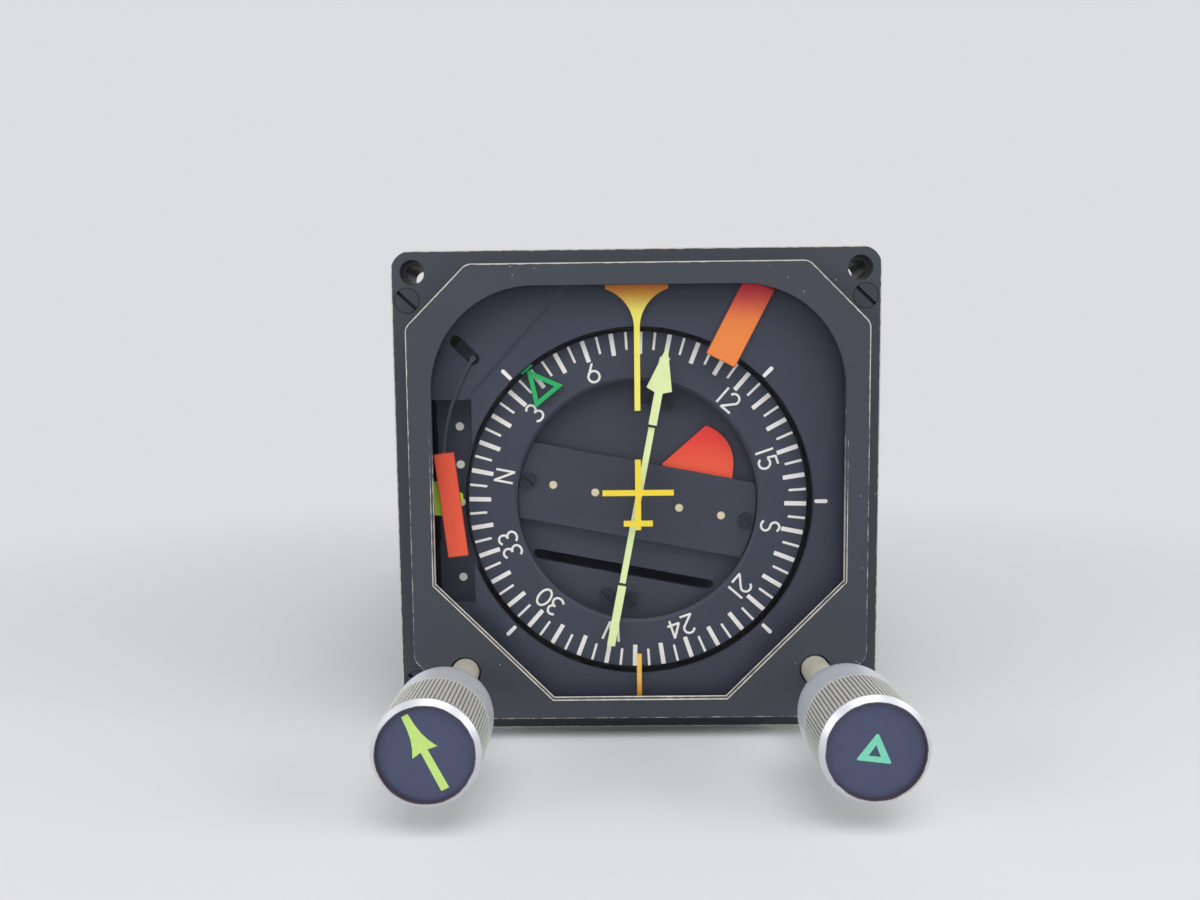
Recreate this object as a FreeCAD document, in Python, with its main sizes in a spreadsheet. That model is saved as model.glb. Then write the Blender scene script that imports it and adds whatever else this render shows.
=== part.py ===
import FreeCAD, Part
import Sketcher
import math
import os

# Three-inch panel navigation indicator with a compass card, course arrow and two knobs.
# Frame: X to the right, Z up, Y into the panel. The origin is the centre of the flange's front face.
# Everything inside turns about the dial axis, a line along Y a little below the flange's centre.

Vector = FreeCAD.Vector
ALONG_Y = Vector(0, 1, 0)

doc = FreeCAD.newDocument("navigation_indicator")
sheet = doc.addObject("Spreadsheet::Sheet", "sizes")

# Driving dimensions in millimetres and degrees.
SIZES = {
    # Bezel casting
    "flange_side": 85.85,
    "flange_thick": 7.0,
    "flange_corner": 3.6,
    "frame_margin": 3.675,
    "frame_side": "=flange_side - 2 * frame_margin",
    "frame_height": 6.0,
    "frame_up": 0.45,
    "frame_chamfer": 10.5,
    "frame_corner": 2.2,
    "frame_wall": 1.2,
    "frame_border": 4.05,
    "frame_border_level": 3.7,
    "aperture_width": "=frame_side - 2 * frame_border",
    "aperture_top": "=frame_side / 2 + frame_up - frame_border_level",
    "aperture_bottom": "=frame_side / 2 - frame_up - frame_border_level",
    "aperture_corner": 17.6,
    "aperture_cut": 20.2,
    "aperture_bevel": 0.45,
    "lip_thick": 0.8,
    "corner_block": 4.4,
    # Mounting holes and the screws beside them
    "mount_edge": 3.725,
    "mount_spacing": "=flange_side - 2 * mount_edge",
    "mount_hole": 1.65,
    "insert_wall": 0.55,
    "insert_recess": 2.0,
    "insert_collar": 0.8,
    "insert_collar_thick": 1.2,
    "screw_edge": 2.725,
    "screw_edge_tall": 8.575,
    "screw_spacing_wide": "=flange_side - 2 * screw_edge",
    "screw_spacing_tall": "=flange_side - 2 * screw_edge_tall",
    "bezel_screw_head": 2.15,
    "bezel_screw_head_thick": 1.6,
    "bezel_screw_shank": 1.2,
    # Glass and the thin pieces behind it
    "gasket_thick": 0.3,
    "gasket_land": 0.5,
    "glass_thick": 1.8,
    "clamp_height": 1.4,
    "clamp_length": 7.0,
    "clamp_start": 7.0,
    "symbol_thick": 0.25,
    "lubber_half_top": 5.4,
    "lubber_half_stem": 0.5,
    "lubber_top_above_dial": 38.2,
    "lubber_block": 1.1,
    "lubber_taper_end_above_dial": 30.1,
    "lubber_end_above_dial": 16.2,
    "symbol_line": 1.0,
    "symbol_nose_above_dial": 7.7,
    "symbol_tail_below_dial": 4.7,
    "symbol_wing_half": 6.22,
    "symbol_wing_above_dial": 1.85,
    "symbol_fin_half": 2.55,
    "symbol_fin_below_dial": 3.55,
    "index_half": 0.42,
    "index_top_below_dial": 26.9,
    "index_length": 8.6,
    # Flags
    "flag_gap": 0.22,
    "flag_thick": 0.25,
    "hdg_flag_half": 2.78,
    "hdg_flag_length": 14.6,
    "hdg_flag_slope": 27.4,
    "hdg_pivot_x": 21.1,
    "hdg_pivot_z": 36.2,
    "hdg_hub": 1.2,
    "gs_flag_width": 3.6,
    "gs_flag_length": 18.4,
    "gs_flag_slope": 6.7,
    "gs_flag_x": -32.78,
    "gs_flag_z": -1.5,
    "gs_pivot_x": -28.4,
    "gs_pivot_z": 24.0,
    "gs_wire": 0.2,
    "gs_wire_bend": 34.0,
    "flag_pin": 0.5,
    "flag_meter": 3.8,
    "flag_meter_length": 6.0,
    "hdg_lever_length": 6.0,
    "hdg_solenoid": 2.4,
    "hdg_solenoid_length": 6.6,
    "plunger": 0.5,
    # Dial mask and glideslope scale
    "dial_drop": 1.5,
    "mask_thick": 1.0,
    "mask_opening": 30.8,
    "window_left": 36.9,
    "window_right": 28.9,
    "window_top": 16.9,
    "window_bottom": 19.1,
    "slot_width": 2.2,
    "slot_length": 6.4,
    "scale_depth": 3.35,
    "scale_thick": 0.8,
    "scale_left": 35.5,
    "scale_top": 20.0,
    "scale_bottom": 22.0,
    "scale_post": 1.1,
    "scale_post_inset": 1.6,
    # Glideslope pointer
    "glide_pointer_thick": 0.3,
    "glide_pointer_drop": 0.55,
    "glide_pointer_half": 3.0,
    "glide_pointer_block": 1.6,
    "glide_pointer_tip": 0.75,
    "glide_pointer_reach": 30.85,
    "glide_pointer_above_dial": 1.05,
    "glide_arm": 0.35,
    "glide_pointer_heel": 0.5,
    "glide_arm_x": 36.2,
    # Compass card and heading bug
    "card_radius": 30.05,
    "rotor_radius": 22.4,
    "card_lap": 0.9,
    "card_hole": "=rotor_radius - card_lap",
    "card_thick": 1.0,
    "card_bevel": 0.5,
    "card_gap": 0.5,
    "bug_gap": 0.25,
    "bug_thick": 0.4,
    "bug_angle": -39.3,
    "bug_base": 24.3,
    "bug_half_base": 3.15,
    "bug_apex": 30.5,
    "bug_line": 0.8,
    "bug_finger_width": 2.4,
    "bug_finger_thick": 0.35,
    "edge_gap": 0.25,
    "bug_ring_thick": 0.8,
    # Gear train, from the knob's distance to the dial axis
    "knob_inset": 8.85,
    "knob_inset_level": 8.82,
    "knob_x": "=frame_side / 2 - knob_inset",
    "knob_below": "=frame_side / 2 - knob_inset_level",
    "ring_teeth": 56,
    "pinion_teeth": 12,
    "knob_teeth": 10,
    "pressure_angle": 20.0,
    "addendum": 0.72,
    "dedendum": 0.95,
    "backlash": 0.2,
    "gear_face": 2.0,
    "gear_gap": 0.6,
    "gear_start": 7.6,
    # Card hub and bearing
    "hub_gap": 0.6,
    "hub_wall": 1.4,
    "running": 0.05,
    "bearing_wall": 4.2,
    "hub_inner": "=rotor_radius + hub_gap",
    "bearing_outer": "=hub_inner + hub_wall + bearing_wall",
    "hub_tail": 1.0,
    # Rotor behind the card
    "course_angle": 11.0,
    "plate_drop": 1.5,
    "plate_thick": 0.5,
    "plate_half": 6.9,
    "plate_margin": 1.0,
    "plate_screw_margin": 1.5,
    "plate_end": "=rotor_radius - plate_margin",
    "plate_screw": "=plate_end - plate_screw_margin",
    "rotor_screw_head": 1.35,
    "rotor_screw_head_thick": 0.5,
    "rotor_screw_shank": 0.6,
    "rotor_screw_length": 1.9,
    "spacer": 1.25,
    "nav_gap": 0.35,
    "nav_thick": 0.3,
    "nav_pivot_margin": 6.4,
    "nav_pivot_right": "=rotor_radius - nav_pivot_margin",
    "nav_pivot_down": 4.0,
    "nav_reach": 12.7,
    "nav_tip_up": 7.2,
    "nav_heel": 0.9,
    "nav_heel_drop": 1.4,
    "nav_neck": 3.0,
    "nav_neck_up": 3.5,
    "nav_tail_half": 1.3,
    "nav_shoulder": 7.2,
    "nav_shoulder_up": 8.8,
    "nav_top_left": 6.3,
    "nav_top_up": 15.4,
    "nav_meter": 4.5,
    "nav_meter_length": 10.0,
    "face_thick": 1.0,
    "face_slot_half": 15.8,
    "face_slot_width": 1.9,
    "face_slot_down": 13.2,
    "drum_wall": 1.0,
    "rotor_end_thick": 2.0,
    "rotor_shaft": 3.0,
    "drum_end_gap": 4.0,
    # Course arrow and deviation bar
    "arrow_drop": 0.4,
    "arrow_thick": 0.3,
    "arrow_half": 0.72,
    "arrow_tip": 28.0,
    "arrow_barb": 20.2,
    "arrow_barb_half": 2.25,
    "arrow_neck": 19.6,
    "arrow_break": 13.9,
    "tail_break": 15.2,
    "tail_end": 26.2,
    "foot_margin": 4.0,
    "foot_out": "=rotor_radius - foot_margin",
    "foot_half": 1.2,
    "foot_half_wide": 3.9,
    "foot_thick": 0.6,
    "foot_screw": 2.3,
    "bar_gap": 0.3,
    "bar_thick": 0.4,
    "bar_half": 0.55,
    "bar_top": 13.4,
    "bar_bottom": 14.8,
    "bar_arm": 0.45,
    "meter_depth": 60.0,
    "coil_radius": 4.2,
    "coil_length": 8.0,
    "staff_radius": 0.6,
    "magnet_wall": 1.9,
    "magnet_gap": 0.35,
    "magnet_base": 2.0,
    "meter_step": 1.7,
    "meter_leg": 0.9,
    "glide_coil": 3.4,
    "glide_coil_length": 5.6,
    "glide_swing": 12.5,
    # Knobs and shafts
    "knob_standoff": 14.3,
    "knob_length": 17.5,
    "knob_radius": 7.62,
    "knob_shoulder": 5.5,
    "knob_shoulder_bend": 7.1,
    "knob_back": 5.0,
    "knob_rim": 0.7,
    "knob_front_band": 1.0,
    "knob_recess": 0.6,
    "knob_bore_end": 3.0,
    "insert_radius": 6.75,
    "insert_thick": 0.5,
    "knurl_length": 7.5,
    "knurl_count": 80,
    "knurl_depth": 0.22,
    "shaft_radius": 2.38,
    "shaft_hole": 2.7,
    "bushing_radius": 3.6,
    "bushing_front": 1.6,
    "push_travel": 2.0,
    "push_stop_gap": 0.2,
    "push_shoulder": 3.2,
    "push_shoulder_thick": 0.7,
    "push_collar_thick": 1.2,
    "push_collar": 3.7,
    "spring_wire": 0.28,
    "spring_radius": 3.08,
    "spring_turns": 3,
    # Differentials
    "spindle_radius": 1.0,
    "sleeve_wall": 0.45,
    "cage_radius": 5.2,
    "cage_length": 2.2,
    # Servo motor
    "motor_radius": 4.8,
    "motor_length": 30.0,
    "motor_shaft": 1.2,
    # Inner frame
    "inner_plate_thick": 3.0,
    "inner_gap": 0.4,
    "front_plate_gap": 1.3,
    "gear_plate_thick": 2.0,
    "post_radius": 2.2,
    "post_x": 9.0,
    "post_margin": 4.25,
    "post_z": "=frame_side / 2 - post_margin",
    "slip_ring_radius": 6.5,
    "slip_ring_length": 14.0,
    "slip_ring_count": 6,
    "slip_ring_groove": 0.7,
    "resolver_radius": 12.7,
    "resolver_length": 16.0,
    "resolver_cap": 1.5,
    "block_half": 15.0,
    "block_wall": 2.0,
    "brush": 0.6,
    # Case
    "case_margin": 2.925,
    "case_side": "=flange_side - 2 * case_margin",
    "case_chamfer": 8.5,
    "case_wall": 1.2,
    "case_end": 140.0,
    "case_flange": 2.5,
    "cover_thick": 2.5,
    "cover_screw_head": 2.6,
    "cover_screw_head_thick": 1.4,
    "cover_screw_shank": 1.3,
    "cover_screw_length": 6.0,
    "connector_flange": 30.0,
    "connector_flange_thick": 2.0,
    "connector_radius": 12.0,
    "connector_wall": 1.2,
    "connector_length": 13.0,
    "connector_inside": 8.0,
    "connector_screw": 11.6,
    "pin_radius": 0.5,
    "pin_length": 5.0,
    "fit_gap": 0.1,
}

for row, (alias, size) in enumerate(SIZES.items(), start=1):
    sheet.set("A%d" % row, alias)
    sheet.set("B%d" % row, str(size))
    sheet.setAlias("B%d" % row, alias)
doc.recompute()


def number(expression):
    """The value that an expression of the sheet has now."""
    return float(sheet.evalExpression(str(expression)))


def named(text):
    """Puts the sheet's name before each word of an expression that is one of its sizes."""
    out = []
    word = ""
    for letter in text + " ":
        if letter.isalnum() or letter in "_.":
            word += letter
            continue
        out.append("sizes." + word if word in SIZES else word)
        out.append(letter)
        word = ""
    return "".join(out).strip()


# Helpers. Sizes and places are expressions of the sheet's names.


def origin_plane(body, role):
    return next(item for item in body.Origin.OriginFeatures if item.Role == role)


def origin_axis(body):
    return next(item for item in body.Origin.OriginFeatures if item.Role == "Y_Axis")


def new_body(label):
    body = doc.addObject("PartDesign::Body", label)
    body.Label = label
    return body


def new_sketch(body, role, offset="0"):
    sketch = body.newObject("Sketcher::SketchObject", body.Name + "_sketch")
    sketch.AttachmentSupport = [(origin_plane(body, role), "")]
    sketch.MapMode = "FlatFace"
    if offset != "0":
        sketch.setExpression("AttachmentOffset.Base.z", named("-(%s)" % offset))
    return sketch


def hold(sketch, geometry, vertex, across, up):
    """Ties one point of the sketch to two expressions."""
    for direction, text in (("DistanceX", across), ("DistanceY", up)):
        text = named(text)
        index = sketch.addConstraint(
            Sketcher.Constraint(direction, -1, 1, geometry, vertex, number(text)))
        sketch.setExpression("Constraints[%d]" % index, text)


def arc_through(start, end, radius):
    """The arc between two points. A positive radius turns anticlockwise, a negative one clockwise."""
    chord = end - start
    reach = math.sqrt(max(radius * radius - chord.Length * chord.Length / 4, 0))
    side = Vector(-chord.y, chord.x, 0).normalize() * math.copysign(reach, radius)
    centre = (start + end) * 0.5 + side
    first, last = (start, end) if radius > 0 else (end, start)
    angles = [math.atan2(spot.y - centre.y, spot.x - centre.x) for spot in (first, last)]
    circle = Part.Circle(centre, Vector(0, 0, 1), abs(radius))
    return Part.ArcOfCircle(circle, angles[0], angles[1])


def draw_polygon(sketch, points):
    """Draws a closed outline. A point with a third value starts an arc of that radius."""
    places = [Vector(number(named(point[0])), number(named(point[1])), 0) for point in points]
    first = sketch.GeometryCount
    count = len(places)
    ends = []
    for i, point in enumerate(points):
        start, end = places[i], places[(i + 1) % count]
        if len(point) == 3:
            radius = number(named(point[2]))
            sketch.addGeometry(arc_through(start, end, radius), False)
            ends.append((1, 2) if radius > 0 else (2, 1))
        else:
            sketch.addGeometry(Part.LineSegment(start, end), False)
            ends.append((1, 2))
    for i in range(count):
        after = (i + 1) % count
        sketch.addConstraint(
            Sketcher.Constraint("Coincident", first + i, ends[i][1], first + after, ends[after][0]))
    for i, point in enumerate(points):
        hold(sketch, first + i, ends[i][0], point[0], point[1])
        if len(point) == 3:
            text = named("abs(%s)" % point[2])
            index = sketch.addConstraint(
                Sketcher.Constraint("Radius", first + i, number(text)))
            sketch.setExpression("Constraints[%d]" % index, text)


def draw_circle(sketch, across, up, radius):
    text = named(radius)
    centre = Vector(number(named(across)), number(named(up)), 0)
    index = sketch.addGeometry(Part.Circle(centre, Vector(0, 0, 1), number(text)), False)
    hold(sketch, index, 3, across, up)
    size = sketch.addConstraint(Sketcher.Constraint("Radius", index, number(text)))
    sketch.setExpression("Constraints[%d]" % size, text)


def draw(sketch, loops):
    """A loop is a list of points, or a circle given as (across, up, radius)."""
    for loop in loops:
        if isinstance(loop, tuple):
            draw_circle(sketch, *loop)
        else:
            draw_polygon(sketch, loop)


def add_plate(body, front, thick, *loops):
    """Material from the plane y = front backwards, between the loops."""
    sketch = new_sketch(body, "XZ_Plane", front)
    draw(sketch, loops)
    pad = body.newObject("PartDesign::Pad", body.Name + "_plate")
    pad.Profile = sketch
    pad.setExpression("Length", named(thick))
    pad.Reversed = True
    doc.recompute()
    return pad


def cut_plate(body, front, thick, *loops):
    """Takes the loops out of the body from the plane y = front backwards."""
    before = body.Shape.Volume
    sketch = new_sketch(body, "XZ_Plane", front)
    draw(sketch, loops)
    pocket = body.newObject("PartDesign::Pocket", body.Name + "_cut")
    pocket.Profile = sketch
    pocket.setExpression("Length", named(thick))
    doc.recompute()
    if body.Shape.Volume >= before:
        raise RuntimeError("a cut in %s takes nothing away" % body.Label)
    return pocket


def turn_profile(body, points, cut=False):
    """Turns a profile of (radius, y) points about the body's own Y axis."""
    sketch = new_sketch(body, "XY_Plane")
    draw_polygon(sketch, points)
    kind = "PartDesign::Groove" if cut else "PartDesign::Revolution"
    feature = body.newObject(kind, body.Name + "_turned")
    feature.Profile = sketch
    feature.ReferenceAxis = (sketch, ["V_Axis"])
    feature.Angle = 360
    doc.recompute()
    return feature


def place(piece, x="0", z="0", turn="0", y="0"):
    """Moves a piece to its place and turns it clockwise about Y, as seen from the front."""
    piece.Placement = FreeCAD.Placement(Vector(0, 0, 0), FreeCAD.Rotation(ALONG_Y, 1))
    for axis, text in (("x", x), ("y", y), ("z", z)):
        piece.setExpression("Placement.Base." + axis, named(text))
    piece.setExpression("Placement.Rotation.Angle", named(turn))
    return piece


def plate(label, front, thick, *loops):
    body = new_body(label)
    add_plate(body, front, thick, *loops)
    return body


def turned(label, points):
    body = new_body(label)
    turn_profile(body, points)
    return body


def ring(label, inner, outer, front, back):
    return turned(label, [(inner, front), (outer, front), (outer, back), (inner, back)])


def rod(label, radius, front, back):
    return ring(label, "0", radius, front, back)


def edges_at(shape, middles):
    """Names of the edges whose middle points are the given places."""
    names = []
    for index, edge in enumerate(shape.Edges, start=1):
        middle = edge.valueAt((edge.FirstParameter + edge.LastParameter) / 2)
        if any(middle.distanceToPoint(spot) < 0.01 for spot in middles):
            names.append("Edge%d" % index)
    return names


def dress(body, kind, size_name, size, middles):
    """Rounds or bevels the edges with the given middle points."""
    base = body.Tip
    names = edges_at(body.Shape, middles)
    if len(names) != len(middles):
        raise RuntimeError("%s: %d of %d edges found" % (body.Label, len(names), len(middles)))
    feature = body.newObject(kind, body.Name + "_dressed")
    feature.Base = (base, names)
    feature.setExpression(size_name, named(size))
    doc.recompute()
    return feature


def round_edges(body, radius, middles):
    return dress(body, "PartDesign::Fillet", "Radius", radius, middles)


def bevel_edges(body, size, middles):
    return dress(body, "PartDesign::Chamfer", "Size", size, middles)


def cylinder(label, radius, length, x, y, z, direction):
    """A primitive cylinder from a point along a direction."""
    piece = doc.addObject("Part::Cylinder", label)
    piece.setExpression("Radius", named(radius))
    piece.setExpression("Height", named(length))
    piece.Placement = FreeCAD.Placement(
        Vector(0, 0, 0), FreeCAD.Rotation(Vector(0, 0, 1), direction))
    for axis, text in (("x", x), ("y", y), ("z", z)):
        piece.setExpression("Placement.Base." + axis, named(text))
    return piece


def box(label, left, right, front, back, low, high):
    """A primitive box between two expressions on each axis."""
    piece = doc.addObject("Part::Box", label)
    for edge, start, end in (("Length", left, right), ("Width", front, back), ("Height", low, high)):
        piece.setExpression(edge, named("(%s) - (%s)" % (end, start)))
    for axis, text in (("x", left), ("y", front), ("z", low)):
        piece.setExpression("Placement.Base." + axis, named(text))
    return piece


def fuse(label, *pieces):
    piece = doc.addObject("Part::MultiFuse", label)
    piece.Shapes = list(pieces)
    piece.Refine = True
    return piece


def subtract(label, base, tool):
    piece = doc.addObject("Part::Cut", label)
    piece.Base = base
    piece.Tool = tool
    return piece


def group(label, pieces):
    """Like pieces kept as separate solids in one node."""
    piece = doc.addObject("Part::Compound", label)
    piece.Links = list(pieces)
    return piece


nodes = {}


def keep(piece, label=None):
    """Names a finished sub-part, which gets a file of its own."""
    label = label or piece.Label
    piece.Label = label
    nodes[label] = piece
    return piece


# Outlines that several pieces share


# A 45 degree corner cut gets shorter by this share of the gap by which its outline is drawn in.
CUT_SHARE = "(2 - sqrt(2))"


def cut_square(half, up, high_cut, low_cut, gap="0"):
    """A square with its upper and lower corners cut at 45 degrees, drawn in by a gap."""
    side = "(%s - %s)" % (half, gap)
    high = "(%s - %s * %s)" % (high_cut, CUT_SHARE, gap)
    low = "(%s - %s * %s)" % (low_cut, CUT_SHARE, gap)
    top = "(%s + %s)" % (up, side)
    bottom = "(%s - %s)" % (up, side)
    return [
        ("-" + side, "%s + %s" % (bottom, low)),
        ("-%s + %s" % (side, low), bottom),
        ("%s - %s" % (side, low), bottom),
        (side, "%s + %s" % (bottom, low)),
        (side, "%s - %s" % (top, high)),
        ("%s - %s" % (side, high), top),
        ("-%s + %s" % (side, high), top),
        ("-" + side, "%s - %s" % (top, high)),
    ]


def square(half):
    return [("-" + half, "-" + half), (half, "-" + half), (half, half), ("-" + half, half)]


def rectangle(left, right, low, high):
    return [(left, low), (right, low), (right, high), (left, high)]


def case_outline(gap):
    return cut_square("case_side / 2", "0", "case_chamfer", "case_chamfer", gap)


CAVITY_HALF = "(frame_side / 2 - frame_wall)"
CAVITY_HIGH_CUT = "(frame_chamfer - %s * frame_wall)" % CUT_SHARE
BLOCK_LINE = "(knob_x + knob_below - sqrt(2) * corner_block)"
CAVITY_LOW_CUT = "(2 * %s - frame_up - %s)" % (CAVITY_HALF, BLOCK_LINE)


def cavity_outline(gap="0"):
    return cut_square(CAVITY_HALF, "frame_up", CAVITY_HIGH_CUT, CAVITY_LOW_CUT, gap)


def aperture_outline(grow="0"):
    """The opening of the lip: round above, cut at 45 degrees below."""
    side = "(aperture_width / 2 + %s)" % grow
    low = "(aperture_bottom + %s)" % grow
    high = "(aperture_top + %s)" % grow
    corner = "(aperture_corner + %s)" % grow
    slant = "(aperture_cut + %s * %s)" % (CUT_SHARE, grow)
    return [
        ("-" + side, "-%s + %s" % (low, slant)),
        ("-%s + %s" % (side, slant), "-" + low),
        ("%s - %s" % (side, slant), "-" + low),
        (side, "-%s + %s" % (low, slant)),
        (side, "%s - %s" % (high, corner), corner),
        ("%s - %s" % (side, corner), high),
        ("-%s + %s" % (side, corner), high, corner),
        ("-" + side, "%s - %s" % (high, corner)),
    ]


DIAL_Z = "-dial_drop"

# Levels from the front to the back
FRAME_FACE = "(-frame_height)"
LIP_BACK = "(%s + lip_thick)" % FRAME_FACE
GLASS_FRONT = "(%s + gasket_thick)" % LIP_BACK
GLASS_BACK = "(%s + glass_thick)" % GLASS_FRONT
FLAG_FRONT = "(%s + flag_gap)" % GLASS_BACK
MASK_FRONT = "(%s + flag_thick + flag_gap)" % FLAG_FRONT
MASK_BACK = "(%s + mask_thick)" % MASK_FRONT
ARROW_FRONT = "(%s + arrow_drop)" % MASK_FRONT
ARROW_BACK = "(%s + arrow_thick)" % ARROW_FRONT
BAR_FRONT = "(%s + bar_gap)" % ARROW_BACK
BAR_BACK = "(%s + bar_thick)" % BAR_FRONT
BUG_FRONT = "(%s + bug_gap)" % MASK_BACK
BUG_BACK = "(%s + bug_thick)" % BUG_FRONT
CARD_FRONT = "(%s + card_gap)" % BUG_BACK
CARD_BACK = "(%s + card_thick)" % CARD_FRONT
PLATE_FRONT = "(%s + plate_drop)" % CARD_FRONT
PLATE_BACK = "(%s + plate_thick)" % PLATE_FRONT
NAV_FRONT = "(%s + nav_gap)" % PLATE_BACK
NAV_BACK = "(%s + nav_thick)" % NAV_FRONT
FACE_FRONT = "(%s + nav_gap)" % NAV_BACK
FACE_BACK = "(%s + face_thick)" % FACE_FRONT
BUG_RING_FRONT = "(%s + edge_gap)" % CARD_BACK
BUG_GEAR_BACK = "(gear_start + gear_face)"
CARD_GEAR_FRONT = "(%s + gear_gap)" % BUG_GEAR_BACK
CARD_GEAR_BACK = "(%s + gear_face)" % CARD_GEAR_FRONT
FRONT_PLATE_FRONT = "(%s + front_plate_gap)" % CARD_GEAR_BACK
FRONT_PLATE_BACK = "(%s + inner_plate_thick)" % FRONT_PLATE_FRONT
HUB_BACK = "(%s + hub_tail)" % FRONT_PLATE_BACK
CAGE_FRONT = "(%s + gear_gap)" % HUB_BACK
CAGE_BACK = "(%s + cage_length)" % CAGE_FRONT
ROTOR_GEAR_FRONT = "(%s + gear_gap)" % CAGE_BACK
ROTOR_GEAR_BACK = "(%s + gear_face)" % ROTOR_GEAR_FRONT
DRIVE_FRONT = "(%s + gear_gap)" % ROTOR_GEAR_BACK
DRIVE_BACK = "(%s + gear_face + push_travel)" % DRIVE_FRONT
GEAR_PLATE_FRONT = "(%s + push_travel)" % DRIVE_BACK
GEAR_PLATE_BACK = "(%s + gear_plate_thick)" % GEAR_PLATE_FRONT
METER_AXIS = "(%s + meter_depth)" % BAR_FRONT
DRUM_BACK = "(%s + coil_radius + magnet_gap + magnet_base)" % METER_AXIS
ROTOR_END_BACK = "(%s + rotor_end_thick)" % DRUM_BACK
MIDDLE_PLATE_FRONT = "(%s + drum_end_gap)" % ROTOR_END_BACK
MIDDLE_PLATE_BACK = "(%s + inner_plate_thick)" % MIDDLE_PLATE_FRONT
SLIP_FRONT = "(%s + gear_gap)" % MIDDLE_PLATE_BACK
SLIP_BACK = "(%s + slip_ring_length)" % SLIP_FRONT
RESOLVER_PLATE_FRONT = "(%s + gear_gap)" % SLIP_BACK
RESOLVER_PLATE_BACK = "(%s + inner_plate_thick)" % RESOLVER_PLATE_FRONT
RESOLVER_BACK = "(%s + resolver_length)" % RESOLVER_PLATE_BACK
KNOB_BACK = "(%s - knob_standoff)" % FRAME_FACE
KNOB_FRONT = "(%s - knob_length)" % KNOB_BACK
COVER_BACK = "(case_end + cover_thick)"

# Bezel: one casting with the flange, the raised frame and the lip round the aperture
bezel = new_body("bezel")
add_plate(bezel, "0", "flange_thick", square("flange_side / 2"))
corner = number(named("flange_side / 2"))
middle_y = number(named("flange_thick / 2"))
round_edges(bezel, "flange_corner",
            [Vector(a * corner, middle_y, b * corner) for a in (-1, 1) for b in (-1, 1)])
frame_outline = cut_square("frame_side / 2", "frame_up", "frame_chamfer", "frame_chamfer")
add_plate(bezel, FRAME_FACE, "frame_height", frame_outline)
side_y = number(named("%s / 2" % FRAME_FACE))
round_edges(bezel, "frame_corner",
            [Vector(number(named(x)), side_y, number(named(z))) for x, z in frame_outline])
cut_plate(bezel, FRAME_FACE, "lip_thick", aperture_outline())
half = number(named("aperture_width / 2"))
low = -number(named("aperture_bottom"))
cut = number(named("aperture_cut"))
face_y = number(named(FRAME_FACE))
bevel_edges(bezel, "aperture_bevel", [
    Vector(0, face_y, low),
    Vector(half - cut / 2, face_y, low + cut / 2),
    Vector(-half + cut / 2, face_y, low + cut / 2),
])
cut_plate(bezel, LIP_BACK, "frame_height + flange_thick", cavity_outline())
CORNERS = [(across, up) for across in ("", "-") for up in ("", "-")]
MOUNTS = [(a + "mount_spacing / 2", b + "mount_spacing / 2") for a, b in CORNERS]
SCREWS = [(a + "screw_spacing_wide / 2", b + "screw_spacing_tall / 2") for a, b in CORNERS]
SHAFTS = [("-knob_x", "-knob_below"), ("knob_x", "-knob_below")]


def round_holes(spots, radius):
    return [(x, z, radius) for x, z in spots]


cut_plate(bezel, "0", "flange_thick",
          *round_holes(MOUNTS, "mount_hole + insert_wall"),
          *round_holes(SCREWS, "bezel_screw_shank + fit_gap"))
cut_plate(bezel, "0", "bezel_screw_head_thick", *round_holes(SCREWS, "bezel_screw_head + fit_gap"))
cut_plate(bezel, FRAME_FACE, "frame_height + flange_thick", *round_holes(SHAFTS, "shaft_hole"))
cut_plate(bezel, "%s + bushing_front" % FRAME_FACE, "frame_height + flange_thick",
          *round_holes(SHAFTS, "bushing_radius"))
keep(bezel)


def copies(label, piece, spots, turn="0"):
    """The same piece at several places, as separate solids of one node."""
    links = []
    for x, z in spots:
        link = doc.addObject("App::Link", label + "_copy")
        link.LinkedObject = piece
        links.append(place(link, x, z, turn))
    return keep(group(label, links))


# Threaded inserts in the mounting holes, pressed in from behind with a collar on the case flange
CASE_FLANGE_BACK = "(flange_thick + case_flange)"
insert = turned("mount_insert", [
    ("mount_hole", "insert_recess"),
    ("mount_hole + insert_wall", "insert_recess"),
    ("mount_hole + insert_wall", CASE_FLANGE_BACK),
    ("mount_hole + insert_wall + insert_collar", CASE_FLANGE_BACK),
    ("mount_hole + insert_wall + insert_collar", "%s + insert_collar_thick" % CASE_FLANGE_BACK),
    ("mount_hole", "%s + insert_collar_thick" % CASE_FLANGE_BACK),
])
copies("mount_inserts", insert, MOUNTS)


def slotted_screw(label, head, head_thick, shank, length, front="0"):
    """A screw with a flat slotted head, its head's face at y = front."""
    body = turned(label, [
        ("0", front),
        (head, front),
        (head, "%s + %s" % (front, head_thick)),
        (shank, "%s + %s" % (front, head_thick)),
        (shank, "%s + %s" % (front, length)),
        ("0", "%s + %s" % (front, length)),
    ])
    cut_plate(body, front, "%s * 0.5" % head_thick,
              rectangle("-%s" % head, head, "-%s * 0.14" % head, "%s * 0.14" % head))
    return body


screw = slotted_screw("bezel_screw", "bezel_screw_head", "bezel_screw_head_thick",
                      "bezel_screw_shank", "flange_thick + case_flange")
copies("bezel_screws", screw, SCREWS, "43")

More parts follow.
